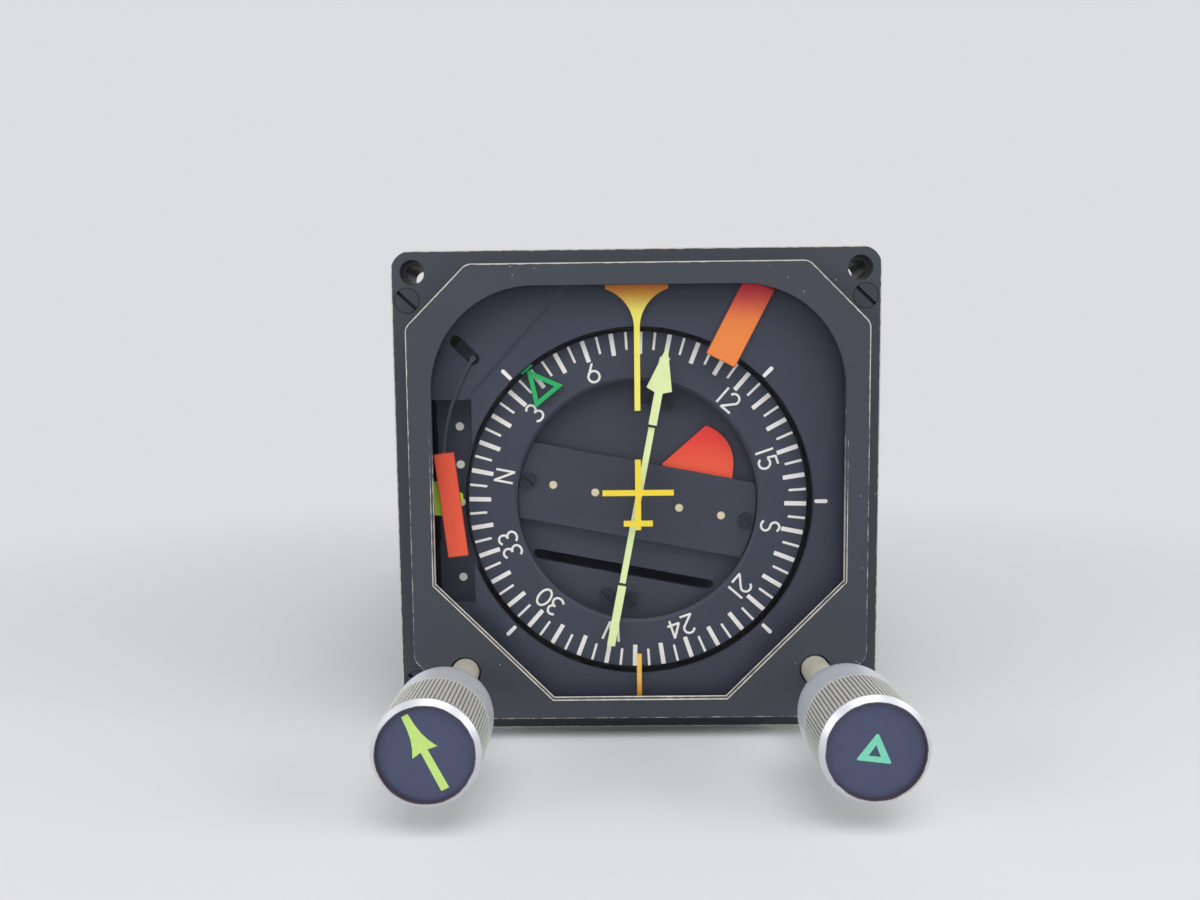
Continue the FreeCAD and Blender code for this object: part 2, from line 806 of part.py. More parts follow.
# Glass, its gasket and the clamps that hold it against the lip
gasket = plate("glass_gasket", LIP_BACK, "gasket_thick",
               cavity_outline("fit_gap"), aperture_outline("gasket_land"))
keep(gasket)
keep(plate("front_glass", GLASS_FRONT, "glass_thick", cavity_outline("fit_gap")))
CAVITY_TOP = "(frame_up + %s - fit_gap)" % CAVITY_HALF
CAVITY_LOW = "(frame_up - %s + fit_gap)" % CAVITY_HALF
clamps = []
for side in ("", "-"):
    near, far = side + "clamp_start", side + "(clamp_start + clamp_length)"
    left, right = (near, far) if side == "" else (far, near)
    for low, high in ((CAVITY_LOW, "%s + clamp_height" % CAVITY_LOW),
                      ("%s - clamp_height" % CAVITY_TOP, CAVITY_TOP)):
        clamps.append(box("glass_clamp", left, right, GLASS_BACK, MASK_FRONT, low, high))
keep(group("glass_clamps", clamps))

# Thin painted pieces on the back of the glass, in the middle of the dial
lubber = plate("lubber_line", GLASS_BACK, "symbol_thick", [
    ("lubber_half_top", "lubber_top_above_dial"),
    ("-lubber_half_top", "lubber_top_above_dial"),
    ("-lubber_half_top", "lubber_top_above_dial - lubber_block",
     "-(lubber_half_top + 1.5 * lubber_block)"),
    ("-lubber_half_stem", "lubber_taper_end_above_dial"),
    ("-lubber_half_stem", "lubber_end_above_dial"),
    ("lubber_half_stem", "lubber_end_above_dial"),
    ("lubber_half_stem", "lubber_taper_end_above_dial",
     "-(lubber_half_top + 1.5 * lubber_block)"),
    ("lubber_half_top", "lubber_top_above_dial - lubber_block"),
])
keep(place(lubber, z=DIAL_Z))
LINE = "symbol_line / 2"
aircraft = plate("aircraft_symbol", GLASS_BACK, "symbol_thick", [
    ("-" + LINE, "-symbol_tail_below_dial"),
    (LINE, "-symbol_tail_below_dial"),
    (LINE, "-symbol_fin_below_dial - " + LINE),
    ("symbol_fin_half", "-symbol_fin_below_dial - " + LINE),
    ("symbol_fin_half", "-symbol_fin_below_dial + " + LINE),
    (LINE, "-symbol_fin_below_dial + " + LINE),
    (LINE, "symbol_wing_above_dial - " + LINE),
    ("symbol_wing_half", "symbol_wing_above_dial - " + LINE),
    ("symbol_wing_half", "symbol_wing_above_dial + " + LINE),
    (LINE, "symbol_wing_above_dial + " + LINE),
    (LINE, "symbol_nose_above_dial"),
    ("-" + LINE, "symbol_nose_above_dial"),
    ("-" + LINE, "symbol_wing_above_dial + " + LINE),
    ("-symbol_wing_half", "symbol_wing_above_dial + " + LINE),
    ("-symbol_wing_half", "symbol_wing_above_dial - " + LINE),
    ("-" + LINE, "symbol_wing_above_dial - " + LINE),
    ("-" + LINE, "-symbol_fin_below_dial + " + LINE),
    ("-symbol_fin_half", "-symbol_fin_below_dial + " + LINE),
    ("-symbol_fin_half", "-symbol_fin_below_dial - " + LINE),
    ("-" + LINE, "-symbol_fin_below_dial - " + LINE),
])
keep(place(aircraft, z=DIAL_Z))
index = plate("bottom_index", GLASS_BACK, "symbol_thick", rectangle(
    "-index_half", "index_half",
    "-index_top_below_dial - index_length", "-index_top_below_dial"))
keep(place(index, z=DIAL_Z))

# Dial mask with the card's opening, the glideslope window and the slanted slot
mask = plate("dial_mask", MASK_FRONT, "mask_thick", cavity_outline("fit_gap"))
cut_plate(mask, MASK_FRONT, "mask_thick", ("0", DIAL_Z, "mask_opening"))
cut_plate(mask, MASK_FRONT, "mask_thick", [
    ("-window_left", "window_top"),
    ("-window_left", "-window_bottom + scale_post_inset"),
    ("-window_left + scale_post_inset", "-window_bottom"),
    ("-window_right", "-window_bottom"),
    ("-window_right", "window_top"),
])
SLOT_A = "(slot_length - slot_width) * sqrt(0.5)"
SLOT_B = "(slot_width / 2) * sqrt(0.5)"
cut_plate(mask, MASK_FRONT, "mask_thick", [
    ("gs_pivot_x + %s" % SLOT_B, "gs_pivot_z + %s" % SLOT_B),
    ("gs_pivot_x + %s - %s" % (SLOT_B, SLOT_A), "gs_pivot_z + %s + %s" % (SLOT_B, SLOT_A),
     "slot_width / 2"),
    ("gs_pivot_x - %s - %s" % (SLOT_B, SLOT_A), "gs_pivot_z - %s + %s" % (SLOT_B, SLOT_A)),
    ("gs_pivot_x - %s" % SLOT_B, "gs_pivot_z - %s" % SLOT_B, "slot_width / 2"),
])
cut_plate(mask, MASK_FRONT, "mask_thick", ("hdg_pivot_x", "hdg_pivot_z", "flag_pin + fit_gap"))
keep(mask)

# Glideslope scale plate behind the window, hung on two posts, with its five dots
SCALE_FRONT = "(%s + scale_depth)" % MASK_FRONT
SCALE_REACH = "(mask_opening + running)"
scale = plate("glideslope_scale", SCALE_FRONT, "scale_thick", [
    ("-scale_left", "scale_top"),
    ("-scale_left", "-scale_bottom + (scale_left - window_right - scale_post_inset * 1.6)"),
    ("-window_right - scale_post_inset * 1.6", "-scale_bottom"),
    ("-window_right", "-scale_bottom"),
    ("-window_right", "scale_top"),
])
cut_plate(scale, SCALE_FRONT, "scale_thick", ("0", DIAL_Z, SCALE_REACH))
SCALE_POSTS = [
    ("-window_right - scale_post - scale_post_inset", "scale_top - scale_post_inset / 2 - scale_post / 2"),
    ("-window_right - scale_post - fit_gap", "-scale_bottom + scale_post + fit_gap"),
]
add_plate(scale, MASK_BACK, "%s - %s" % (SCALE_FRONT, MASK_BACK), *round_holes(SCALE_POSTS, "scale_post"))
keep(scale)

# Flags: a painted vane on a pin, and its meter behind the mask
COS_HDG = "cos(hdg_flag_slope * 1deg)"
SIN_HDG = "sin(hdg_flag_slope * 1deg)"


def along_hdg(reach, side):
    """A point of the heading flag, measured down from its pivot and across its length."""
    return ("hdg_pivot_x - (%s) * %s + (%s) * %s" % (reach, SIN_HDG, side, COS_HDG),
            "hdg_pivot_z - (%s) * %s - (%s) * %s" % (reach, COS_HDG, side, SIN_HDG))


hdg_vane = plate("hdg_flag_vane", FLAG_FRONT, "flag_thick", [
    along_hdg("hdg_flag_length", "-hdg_flag_half"),
    along_hdg("hdg_flag_length", "hdg_flag_half"),
    along_hdg("-hdg_hub / 3", "hdg_flag_half"),
    along_hdg("-hdg_hub / 2", "-hdg_hub"),
    along_hdg("hdg_hub", "-hdg_flag_half"),
])
SOLENOID_Y = "(%s + hdg_solenoid)" % MASK_BACK
LEVER_FRONT = "(%s - flag_thick)" % SOLENOID_Y
hdg_lever = plate("hdg_flag_lever", LEVER_FRONT, "2 * flag_thick", [
    ("-hdg_hub", "0"), ("-hdg_hub / 2", "-hdg_lever_length"),
    ("hdg_hub / 2", "-hdg_lever_length"), ("hdg_hub", "0")])
add_plate(hdg_lever, LEVER_FRONT, "2 * flag_thick", ("0", "0", "hdg_hub"))
hdg_pin = rod("hdg_flag_pin", "flag_pin", "%s + flag_thick" % FLAG_FRONT, LEVER_FRONT)
for piece in (hdg_lever, hdg_pin):
    place(piece, "hdg_pivot_x", "hdg_pivot_z")
keep(fuse("hdg_flag", hdg_vane, hdg_pin, hdg_lever))
SOLENOID_X = "(hdg_pivot_x - 2 * hdg_hub)"
SOLENOID_Z = "(hdg_pivot_z - hdg_lever_length / 2 + plunger)"
RIGHT = Vector(1, 0, 0)
keep(fuse("hdg_flag_solenoid",
          cylinder("hdg_coil", "hdg_solenoid", "hdg_solenoid_length",
                   "%s - hdg_solenoid_length" % SOLENOID_X, SOLENOID_Y, SOLENOID_Z, RIGHT),
          box("hdg_coil_foot", "%s - hdg_solenoid_length" % SOLENOID_X, SOLENOID_X, MASK_BACK, SOLENOID_Y,
              "%s - hdg_solenoid" % SOLENOID_Z, "%s + hdg_solenoid" % SOLENOID_Z),
          cylinder("hdg_plunger", "plunger", "hdg_hub - flag_gap", SOLENOID_X, SOLENOID_Y, SOLENOID_Z,
                   RIGHT)))

COS_GS = "cos(gs_flag_slope * 1deg)"
SIN_GS = "sin(gs_flag_slope * 1deg)"


def along_gs(up, right):
    """A point of the glideslope flag, measured from its centre along and across it."""
    return ("gs_flag_x - (%s) * %s + (%s) * %s" % (up, SIN_GS, right, COS_GS),
            "gs_flag_z + (%s) * %s + (%s) * %s" % (up, COS_GS, right, SIN_GS))


gs_vane = plate("gs_flag_vane", FLAG_FRONT, "flag_thick", [
    along_gs("-gs_flag_length / 2", "-gs_flag_width / 2"),
    along_gs("-gs_flag_length / 2", "gs_flag_width / 2"),
    along_gs("gs_flag_length / 2", "gs_flag_width / 2"),
    along_gs("gs_flag_length / 2", "-gs_flag_width / 2"),
])
gs_wire = plate("gs_flag_wire", FLAG_FRONT, "flag_thick", [
    along_gs("gs_flag_length / 2 - gs_wire", "-gs_wire"),
    along_gs("gs_flag_length / 2 - gs_wire", "gs_wire") + ("-gs_wire_bend",),
    ("gs_pivot_x + gs_wire", "gs_pivot_z - gs_wire"),
    ("gs_pivot_x - gs_wire", "gs_pivot_z + gs_wire", "gs_wire_bend"),
])
FLAG_METER_BACK = "(%s + flag_meter_length)" % MASK_BACK
gs_pin = place(rod("gs_flag_pin", "flag_pin", FLAG_FRONT, FLAG_METER_BACK), "gs_pivot_x", "gs_pivot_z")
keep(fuse("gs_flag", gs_vane, gs_wire, gs_pin))
gs_meter = ring("gs_flag_meter", "flag_pin + running", "flag_meter", MASK_BACK, FLAG_METER_BACK)
keep(place(gs_meter, "gs_pivot_x", "gs_pivot_z"))

# Compass card, its hub and the bug that turns on the hub
HUB_OUTER = "(hub_inner + hub_wall)"
CARD_RIM = "(card_radius + edge_gap)"
card = turned("compass_card", [
    ("card_hole + card_bevel", CARD_FRONT),
    ("card_radius", CARD_FRONT),
    ("card_radius", CARD_BACK),
    ("card_hole", CARD_BACK),
    ("card_hole", "%s + card_bevel" % CARD_FRONT),
])
keep(place(card, z=DIAL_Z))
hub = place(ring("card_hub_tube", "hub_inner", HUB_OUTER, CARD_BACK, HUB_BACK), z=DIAL_Z)
BUG_HEIGHT = "(bug_apex - bug_base)"
BUG_SLOPE = "atan(bug_half_base / %s)" % BUG_HEIGHT
BUG_INNER_APEX = "(bug_apex - bug_line / sin(%s))" % BUG_SLOPE
BUG_INNER_HALF = "((%s - bug_base - bug_line) * bug_half_base / %s)" % (BUG_INNER_APEX, BUG_HEIGHT)
bug = plate("heading_bug", BUG_FRONT, "bug_thick",
            [("-bug_half_base", "bug_base"), ("bug_half_base", "bug_base"), ("0", "bug_apex")],
            [("-" + BUG_INNER_HALF, "bug_base + bug_line"),
             (BUG_INNER_HALF, "bug_base + bug_line"),
             ("0", BUG_INNER_APEX)])
add_plate(bug, BUG_FRONT, "%s - %s" % (BUG_RING_FRONT, BUG_FRONT), rectangle(
    "-bug_finger_width / 2", "bug_finger_width / 2", CARD_RIM, "%s + bug_finger_thick" % CARD_RIM))
keep(place(bug, z=DIAL_Z, turn="bug_angle"))
BUG_BORE = "(%s + running)" % HUB_OUTER
bug_tube = turned("bug_ring_tube", [
    (BUG_BORE, BUG_RING_FRONT),
    ("%s + bug_finger_thick" % CARD_RIM, BUG_RING_FRONT),
    ("%s + bug_finger_thick" % CARD_RIM, "%s + bug_ring_thick" % BUG_RING_FRONT),
    ("%s + bug_ring_thick" % BUG_BORE, "%s + bug_ring_thick" % BUG_RING_FRONT),
    ("%s + bug_ring_thick" % BUG_BORE, "gear_start"),
    (BUG_BORE, "gear_start"),
])
place(bug_tube, z=DIAL_Z)

# Gear train. All wheels share one module, which the knob's distance to the dial axis sets.
KNOB_REACH = "sqrt(knob_x ^ 2 + (knob_below - dial_drop) ^ 2)"
ALL_TEETH = "(ring_teeth + 2 * pinion_teeth + knob_teeth)"
MODULE = "(2 * %s / %s)" % (KNOB_REACH, ALL_TEETH)
PINION_SHARE = "((ring_teeth + pinion_teeth) / %s)" % ALL_TEETH
PINION_REACH = "(%s * %s)" % (KNOB_REACH, PINION_SHARE)
PINION_X = "(knob_x * %s)" % PINION_SHARE
PINION_Z = "(%s - (knob_below - dial_drop) * %s)" % (DIAL_Z, PINION_SHARE)
SERVO_Z = "(%s + %s)" % (DIAL_Z, PINION_REACH)


def toothed_face(teeth, bore, phase):
    """A wheel's face in the XZ plane, with one tooth's middle at the angle phase."""
    module = number(named(MODULE))
    pitch = module * teeth / 2
    tooth = module * math.pi / 2 - number("sizes.backlash")
    slope = math.tan(math.radians(number("sizes.pressure_angle")))
    tip = pitch + number("sizes.addendum") * module
    root = pitch - number("sizes.dedendum") * module
    tip_half = (tooth / 2 - (tip - pitch) * slope) / tip
    root_half = min((tooth / 2 + (pitch - root) * slope) / root, math.pi / teeth * 0.98)
    points = []
    for index in range(teeth):
        middle = phase + 2 * math.pi * index / teeth
        for radius, turn in ((root, -root_half), (tip, -tip_half), (tip, tip_half), (root, root_half)):
            points.append(Vector(radius * math.cos(middle + turn), 0, radius * math.sin(middle + turn)))
    outline = Part.makePolygon(points + points[:1])
    hole = Part.Wire(Part.makeCircle(bore, Vector(0, 0, 0), ALONG_Y))
    return Part.Face([outline, hole])


def gear(label, teeth, front, face, bore, x="0", z=DIAL_Z, phase=0.0):
    teeth = int(number("sizes." + teeth))
    front = number(named(front))
    wheel = doc.addObject("Part::Feature", label)
    wheel.Shape = toothed_face(teeth, number(named(bore)), phase).extrude(
        Vector(0, number(named(face)), 0))
    wheel.Placement = FreeCAD.Placement(
        Vector(number(named(x)), front, number(named(z))), FreeCAD.Rotation())
    return wheel


def meshing(first_teeth, first_phase, second_teeth, direction):
    """The phase of a second wheel that meshes with the first one, seen from it at a direction."""
    share = (direction - first_phase) * first_teeth / (2 * math.pi)
    return direction + math.pi + (share + 0.5) * 2 * math.pi / second_teeth


RING_TEETH = int(number("sizes.ring_teeth"))
PINION_TEETH = int(number("sizes.pinion_teeth"))
KNOB_TEETH = int(number("sizes.knob_teeth"))
DOWN_RIGHT = math.atan2(-number(named("knob_below - dial_drop")), number("sizes.knob_x"))
DOWN_LEFT = -math.pi - DOWN_RIGHT
RIGHT_PHASE = meshing(RING_TEETH, 0, PINION_TEETH, DOWN_RIGHT)
LEFT_PHASE = meshing(RING_TEETH, 0, PINION_TEETH, DOWN_LEFT)
bug_gear = gear("bug_gear", "ring_teeth", "gear_start", "gear_face", BUG_BORE)
keep(fuse("bug_ring", bug_tube, bug_gear))
card_gear = gear("card_gear", "ring_teeth", CARD_GEAR_FRONT, "gear_face", HUB_OUTER)
keep(fuse("card_hub", hub, card_gear))
bearing = ring("card_bearing", "%s + running" % HUB_OUTER, "bearing_outer",
               FRONT_PLATE_FRONT, FRONT_PLATE_BACK)
keep(place(bearing, z=DIAL_Z))

# Two differentials. The input gear with its cage follows the card, the drive gear the knob.
SLEEVE_BORE = "(spindle_radius + running)"
SLEEVE_OUTER = "(%s + sleeve_wall)" % SLEEVE_BORE
INPUT_BORE = "(%s + running)" % SLEEVE_OUTER
INPUT_OUTER = "(%s + sleeve_wall)" % INPUT_BORE


def input_gear(name, x, phase, bore):
    cage = turned(name + "_cage", [
        (bore, CARD_GEAR_BACK),
        (INPUT_OUTER, CARD_GEAR_BACK),
        (INPUT_OUTER, CAGE_FRONT),
        ("cage_radius", CAGE_FRONT),
        ("cage_radius", CAGE_BACK),
        (bore, CAGE_BACK),
    ])
    wheel = gear(name + "_input_wheel", "pinion_teeth", CARD_GEAR_FRONT, "gear_face", bore,
                 x, PINION_Z, phase)
    return keep(fuse(name + "_input_gear", place(cage, x, PINION_Z), wheel))


DIFFERENTIALS = [
    ("course", "-" + PINION_X, "-knob_x", LEFT_PHASE, DOWN_LEFT),
    ("heading", PINION_X, "knob_x", RIGHT_PHASE, DOWN_RIGHT),
]
input_gear("course", DIFFERENTIALS[0][1], LEFT_PHASE, SLEEVE_BORE)
input_gear("heading", DIFFERENTIALS[1][1], RIGHT_PHASE, INPUT_BORE)
keep(gear("course_output_gear", "pinion_teeth", ROTOR_GEAR_FRONT, "gear_face", SLEEVE_BORE,
          "-" + PINION_X, PINION_Z, LEFT_PHASE))
sleeve = ring("heading_output_sleeve", SLEEVE_BORE, SLEEVE_OUTER, BUG_GEAR_BACK, CAGE_BACK)
keep(fuse("heading_output_gear", place(sleeve, PINION_X, PINION_Z),
          gear("heading_output_wheel", "pinion_teeth", "gear_start", "gear_face", SLEEVE_BORE,
               PINION_X, PINION_Z, RIGHT_PHASE)))
for name, x, side, phase, towards_knob in DIFFERENTIALS:
    keep(gear(name + "_drive_gear", "pinion_teeth", DRIVE_FRONT, "gear_face + push_travel",
              SLEEVE_BORE, x, PINION_Z, phase))
spindle = rod("spindle", "spindle_radius", "gear_start - gear_gap", GEAR_PLATE_BACK)
copies("differential_spindles", spindle, [(entry[1], PINION_Z) for entry in DIFFERENTIALS])

# Knobs with their inserts and shafts
knob = turned("knob_body", [
    ("shaft_radius", KNOB_BACK),
    ("knob_back", KNOB_BACK, "-knob_shoulder_bend"),
    ("knob_radius", "%s - knob_shoulder" % KNOB_BACK),
    ("knob_radius", "%s + knob_rim" % KNOB_FRONT),
    ("knob_radius - knob_rim", KNOB_FRONT),
    ("insert_radius", KNOB_FRONT),
    ("insert_radius", "%s + knob_recess + insert_thick" % KNOB_FRONT),
    ("0", "%s + knob_recess + insert_thick" % KNOB_FRONT),
    ("0", "%s + knob_bore_end" % KNOB_FRONT),
    ("shaft_radius", "%s + knob_bore_end" % KNOB_FRONT),
])
KNURL_FRONT = "(%s + knob_front_band)" % KNOB_FRONT
KNURL_HALF = "(knurl_depth + knurl_depth / 2)"
groove = cut_plate(knob, KNURL_FRONT, "knurl_length", [
    ("-" + KNURL_HALF, "knob_radius + knurl_depth / 2"),
    ("0", "knob_radius - knurl_depth"),
    (KNURL_HALF, "knob_radius + knurl_depth / 2"),
])
knurl = knob.newObject("PartDesign::PolarPattern", "knurl")
knurl.Originals = [groove]
knurl.Axis = (origin_axis(knob), [""])
knurl.Angle = 360
knurl.setExpression("Occurrences", "sizes.knurl_count")
knob.Tip = knurl
doc.recompute()
INSERT_FRONT = "(%s + knob_recess)" % KNOB_FRONT
insert_disc = rod("insert_disc", "insert_radius", INSERT_FRONT, "%s + insert_thick" % INSERT_FRONT)
bushing = ring("bushing", "shaft_radius + running", "bushing_radius",
               "%s + bushing_front" % FRAME_FACE, "flange_thick")
copies("shaft_bushings", bushing, SHAFTS)
SHOULDER_FRONT = "(flange_thick + push_stop_gap)"
SHOULDER_BACK = "(%s + push_shoulder_thick)" % SHOULDER_FRONT
shaft_profile = turned("knob_shaft", [
    ("0", "%s + knob_bore_end" % KNOB_FRONT),
    ("shaft_radius", "%s + knob_bore_end" % KNOB_FRONT),
    ("shaft_radius", SHOULDER_FRONT),
    ("push_shoulder", SHOULDER_FRONT),
    ("push_shoulder", SHOULDER_BACK),
    ("shaft_radius", SHOULDER_BACK),
    ("shaft_radius", GEAR_PLATE_BACK),
    ("0", GEAR_PLATE_BACK),
])
for name, x, side, phase, towards_knob in DIFFERENTIALS:
    for part_name, piece in (("_knob", knob), ("_knob_insert", insert_disc)):
        link = doc.addObject("App::Link", name + part_name + "_link")
        link.LinkedObject = piece
        keep(place(link, side, "-knob_below"), name + part_name)
    link = doc.addObject("App::Link", name + "_shaft_rod")
    link.LinkedObject = shaft_profile
    place(link, side, "-knob_below")
    wheel = gear(name + "_knob_wheel", "knob_teeth", DRIVE_FRONT, "gear_face", "shaft_radius",
                 side, "-knob_below", meshing(PINION_TEETH, phase, KNOB_TEETH, towards_knob))
    keep(fuse(name + "_shaft", link, wheel))

# The heading knob also pushes in. Its shaft's shoulder bears on a collar and a return spring.
COLLAR_BACK = "(%s + push_collar_thick)" % SHOULDER_BACK
collar = ring("push_collar", "shaft_radius + running", "push_collar", SHOULDER_BACK, COLLAR_BACK)
keep(place(collar, "knob_x", "-knob_below"))
SPRING_START = "(%s + spring_wire)" % COLLAR_BACK
SPRING_LENGTH = "(%s - %s - 2 * spring_wire)" % (FRONT_PLATE_FRONT, COLLAR_BACK)
coil = doc.addObject("Part::Helix", "spring_path")
coil.setExpression("Radius", "sizes.spring_radius")
coil.setExpression("Height", named(SPRING_LENGTH))
coil.setExpression("Pitch", named("%s / spring_turns" % SPRING_LENGTH))
wire_end = doc.addObject("Part::Circle", "spring_section")
wire_end.setExpression("Radius", "sizes.spring_wire")
wire_end.setExpression("Placement.Base.x", "sizes.spring_radius")
wire_end.Placement.Rotation = FreeCAD.Rotation(Vector(1, 0, 0), 90)
spring = doc.addObject("Part::Sweep", "push_spring")
spring.Sections = [wire_end]
spring.Spine = coil
spring.Solid = True
spring.Frenet = True
spring.Placement = FreeCAD.Placement(Vector(0, 0, 0), FreeCAD.Rotation(Vector(1, 0, 0), -90))
for axis, text in (("x", "knob_x"), ("y", SPRING_START), ("z", "-knob_below")):
    spring.setExpression("Placement.Base." + axis, named(text))
keep(spring)

# Servo motor that turns the card
UP = math.pi / 2
MOTOR_BACK = "(%s + motor_length)" % FRONT_PLATE_BACK
servo_wheel = gear("servo_wheel", "pinion_teeth", CARD_GEAR_FRONT, "gear_face", "motor_shaft",
                   "0", SERVO_Z, meshing(RING_TEETH, 0, PINION_TEETH, UP))
servo_shaft = rod("servo_shaft", "motor_shaft", CARD_GEAR_FRONT, FRONT_PLATE_BACK)
keep(fuse("servo_pinion", servo_wheel, place(servo_shaft, "0", SERVO_Z)))
keep(place(rod("servo_motor", "motor_radius", FRONT_PLATE_BACK, MOTOR_BACK), "0", SERVO_Z))

# Rotor: a drum with the dial's floor, which turns inside the card's hub with the arrow on it.
# Its pieces are drawn with the arrow up and turned together to the course.


def on_rotor(piece):
    return place(piece, z=DIAL_Z, turn="course_angle")


JOURNAL = "(hub_inner - running)"
drum = turned("rotor_drum_shell", [
    ("0", FACE_FRONT),
    ("rotor_radius", FACE_FRONT),
    ("rotor_radius", FRONT_PLATE_FRONT),
    (JOURNAL, FRONT_PLATE_FRONT),
    (JOURNAL, FRONT_PLATE_BACK),
    ("rotor_radius", FRONT_PLATE_BACK),
    ("rotor_radius", DRUM_BACK),
    ("rotor_radius - drum_wall", DRUM_BACK),
    ("rotor_radius - drum_wall", FACE_BACK),
    ("0", FACE_BACK),
])
PLATE_SCREWS = [("-plate_screw", "0"), ("plate_screw", "0")]
FOOT_SCREWS = [(a + "foot_screw", b + "foot_out") for a, b in CORNERS]
add_plate(drum, PLATE_BACK, "%s - %s" % (FACE_FRONT, PLATE_BACK), *round_holes(PLATE_SCREWS, "spacer"))
cut_plate(drum, PLATE_BACK, "%s - %s" % (FACE_BACK, PLATE_BACK),
          [("-face_slot_half", "-face_slot_down - face_slot_width / 2"),
           ("face_slot_half", "-face_slot_down - face_slot_width / 2", "face_slot_width / 2"),
           ("face_slot_half", "-face_slot_down + face_slot_width / 2"),
           ("-face_slot_half", "-face_slot_down + face_slot_width / 2", "face_slot_width / 2")],
          ("nav_pivot_right", "-nav_pivot_down", "flag_pin + running"),
          *round_holes(PLATE_SCREWS + FOOT_SCREWS, "rotor_screw_shank"))
rotor_wheel = gear("rotor_wheel", "ring_teeth", ROTOR_GEAR_FRONT, "gear_face", "rotor_radius")
keep(fuse("rotor_drum", on_rotor(drum), rotor_wheel))
PLATE_REACH = "sqrt(plate_end ^ 2 - plate_half ^ 2)"
rotor_plate = plate("rotor_plate", PLATE_FRONT, "plate_thick", [
    ("-" + PLATE_REACH, "-plate_half"),
    (PLATE_REACH, "-plate_half", "plate_end"),
    (PLATE_REACH, "plate_half"),
    ("-" + PLATE_REACH, "plate_half", "plate_end"),
], *round_holes(PLATE_SCREWS, "rotor_screw_shank"))
keep(on_rotor(rotor_plate))

# Course arrow: head and tail are strips on feet, with the deviation bar between them
FOOT_FRONT = "(%s - foot_thick)" % FACE_FRONT


def arrow_strip(label, outline, foot_middle):
    strip = plate(label, ARROW_FRONT, "arrow_thick", outline)
    low, high = foot_middle + " - foot_half", foot_middle + " + foot_half"
    add_plate(strip, ARROW_BACK, "%s - %s" % (FOOT_FRONT, ARROW_BACK),
              rectangle("-arrow_half", "arrow_half", low, high))
    spots = [("-foot_screw", foot_middle), ("foot_screw", foot_middle)]
    add_plate(strip, FOOT_FRONT, "foot_thick", rectangle("-foot_half_wide", "foot_half_wide", low, high),
              *round_holes(spots, "rotor_screw_shank"))
    return keep(on_rotor(strip))


arrow_strip("course_arrow_head", [
    ("-arrow_half", "arrow_break"),
    ("arrow_half", "arrow_break"),
    ("arrow_half", "arrow_neck"),
    ("arrow_barb_half", "arrow_barb"),
    ("0", "arrow_tip"),
    ("-arrow_barb_half", "arrow_barb"),
    ("-arrow_half", "arrow_neck"),
], "foot_out")
arrow_strip("course_arrow_tail", [
    ("-arrow_half", "-tail_break"),
    ("-arrow_half", "-tail_end"),
    ("arrow_half", "-tail_end"),
    ("arrow_half", "-tail_break"),
], "-foot_out")
rotor_screw = slotted_screw("rotor_screw", "rotor_screw_head", "rotor_screw_head_thick",
                            "rotor_screw_shank", "rotor_screw_length")
screw_links = []
for spots, seat in ((PLATE_SCREWS, PLATE_FRONT), (FOOT_SCREWS, FOOT_FRONT)):
    for x, z in spots:
        link = doc.addObject("App::Link", "rotor_screw_copy")
        link.LinkedObject = rotor_screw
        screw_links.append(place(link, x, z, "35", "%s - rotor_screw_head_thick" % seat))
keep(on_rotor(group("arrow_screws", screw_links)))

# Deviation meter: the bar's arm comes through the slot from a coil that turns in a magnet
bar = plate("deviation_bar_strip", BAR_FRONT, "bar_thick",
            rectangle("-bar_half", "bar_half", "-bar_bottom", "bar_top"))
add_plate(bar, BAR_BACK, "%s - %s" % (METER_AXIS, BAR_BACK),
          ("0", "-face_slot_down", "bar_arm"))
UPWARD = Vector(0, 0, 1)
COIL_LOW = "(-face_slot_down + meter_step)"
COIL_HIGH = "(%s + coil_length)" % COIL_LOW
STAFF_LOW = "(-face_slot_down - meter_step)"
STAFF_HIGH = "(%s + meter_step)" % COIL_HIGH
keep(on_rotor(fuse("deviation_bar", bar,
                   cylinder("deviation_coil", "coil_radius", "coil_length",
                            "0", METER_AXIS, COIL_LOW, UPWARD),
                   cylinder("deviation_staff", "staff_radius", "%s - %s" % (STAFF_HIGH, STAFF_LOW),
                            "0", METER_AXIS, STAFF_LOW, UPWARD))))
POLE_IN = "(coil_radius + magnet_gap)"
POLE_OUT = "(%s + magnet_wall)" % POLE_IN
BASE_FRONT = "(%s - magnet_base)" % DRUM_BACK
LEG_LOW = "(%s - meter_leg)" % STAFF_LOW
LEG_HIGH = "(%s + meter_leg)" % STAFF_HIGH
HELD = "meter_leg / 2"
deviation_frame = fuse(
    "deviation_frame",
    box("deviation_base", "-" + POLE_OUT, POLE_OUT, BASE_FRONT, DRUM_BACK, LEG_LOW, LEG_HIGH),
    box("deviation_pole_left", "-" + POLE_OUT, "-" + POLE_IN, "%s - coil_radius" % METER_AXIS, BASE_FRONT,
        COIL_LOW, COIL_HIGH),
    box("deviation_pole_right", POLE_IN, POLE_OUT, "%s - coil_radius" % METER_AXIS, BASE_FRONT,
        COIL_LOW, COIL_HIGH),
    box("deviation_leg_low", "-meter_leg", "meter_leg", "%s - meter_leg" % METER_AXIS, BASE_FRONT,
        LEG_LOW, "%s + %s" % (STAFF_LOW, HELD)),
    box("deviation_leg_high", "-meter_leg", "meter_leg", "%s - meter_leg" % METER_AXIS, BASE_FRONT,
        "%s - %s" % (STAFF_HIGH, HELD), LEG_HIGH))
deviation_bore = cylinder("deviation_bore", "staff_radius + running", "%s - %s" % (STAFF_HIGH, STAFF_LOW),
                          "0", METER_AXIS, STAFF_LOW, UPWARD)
keep(on_rotor(subtract("deviation_meter", deviation_frame, deviation_bore)))

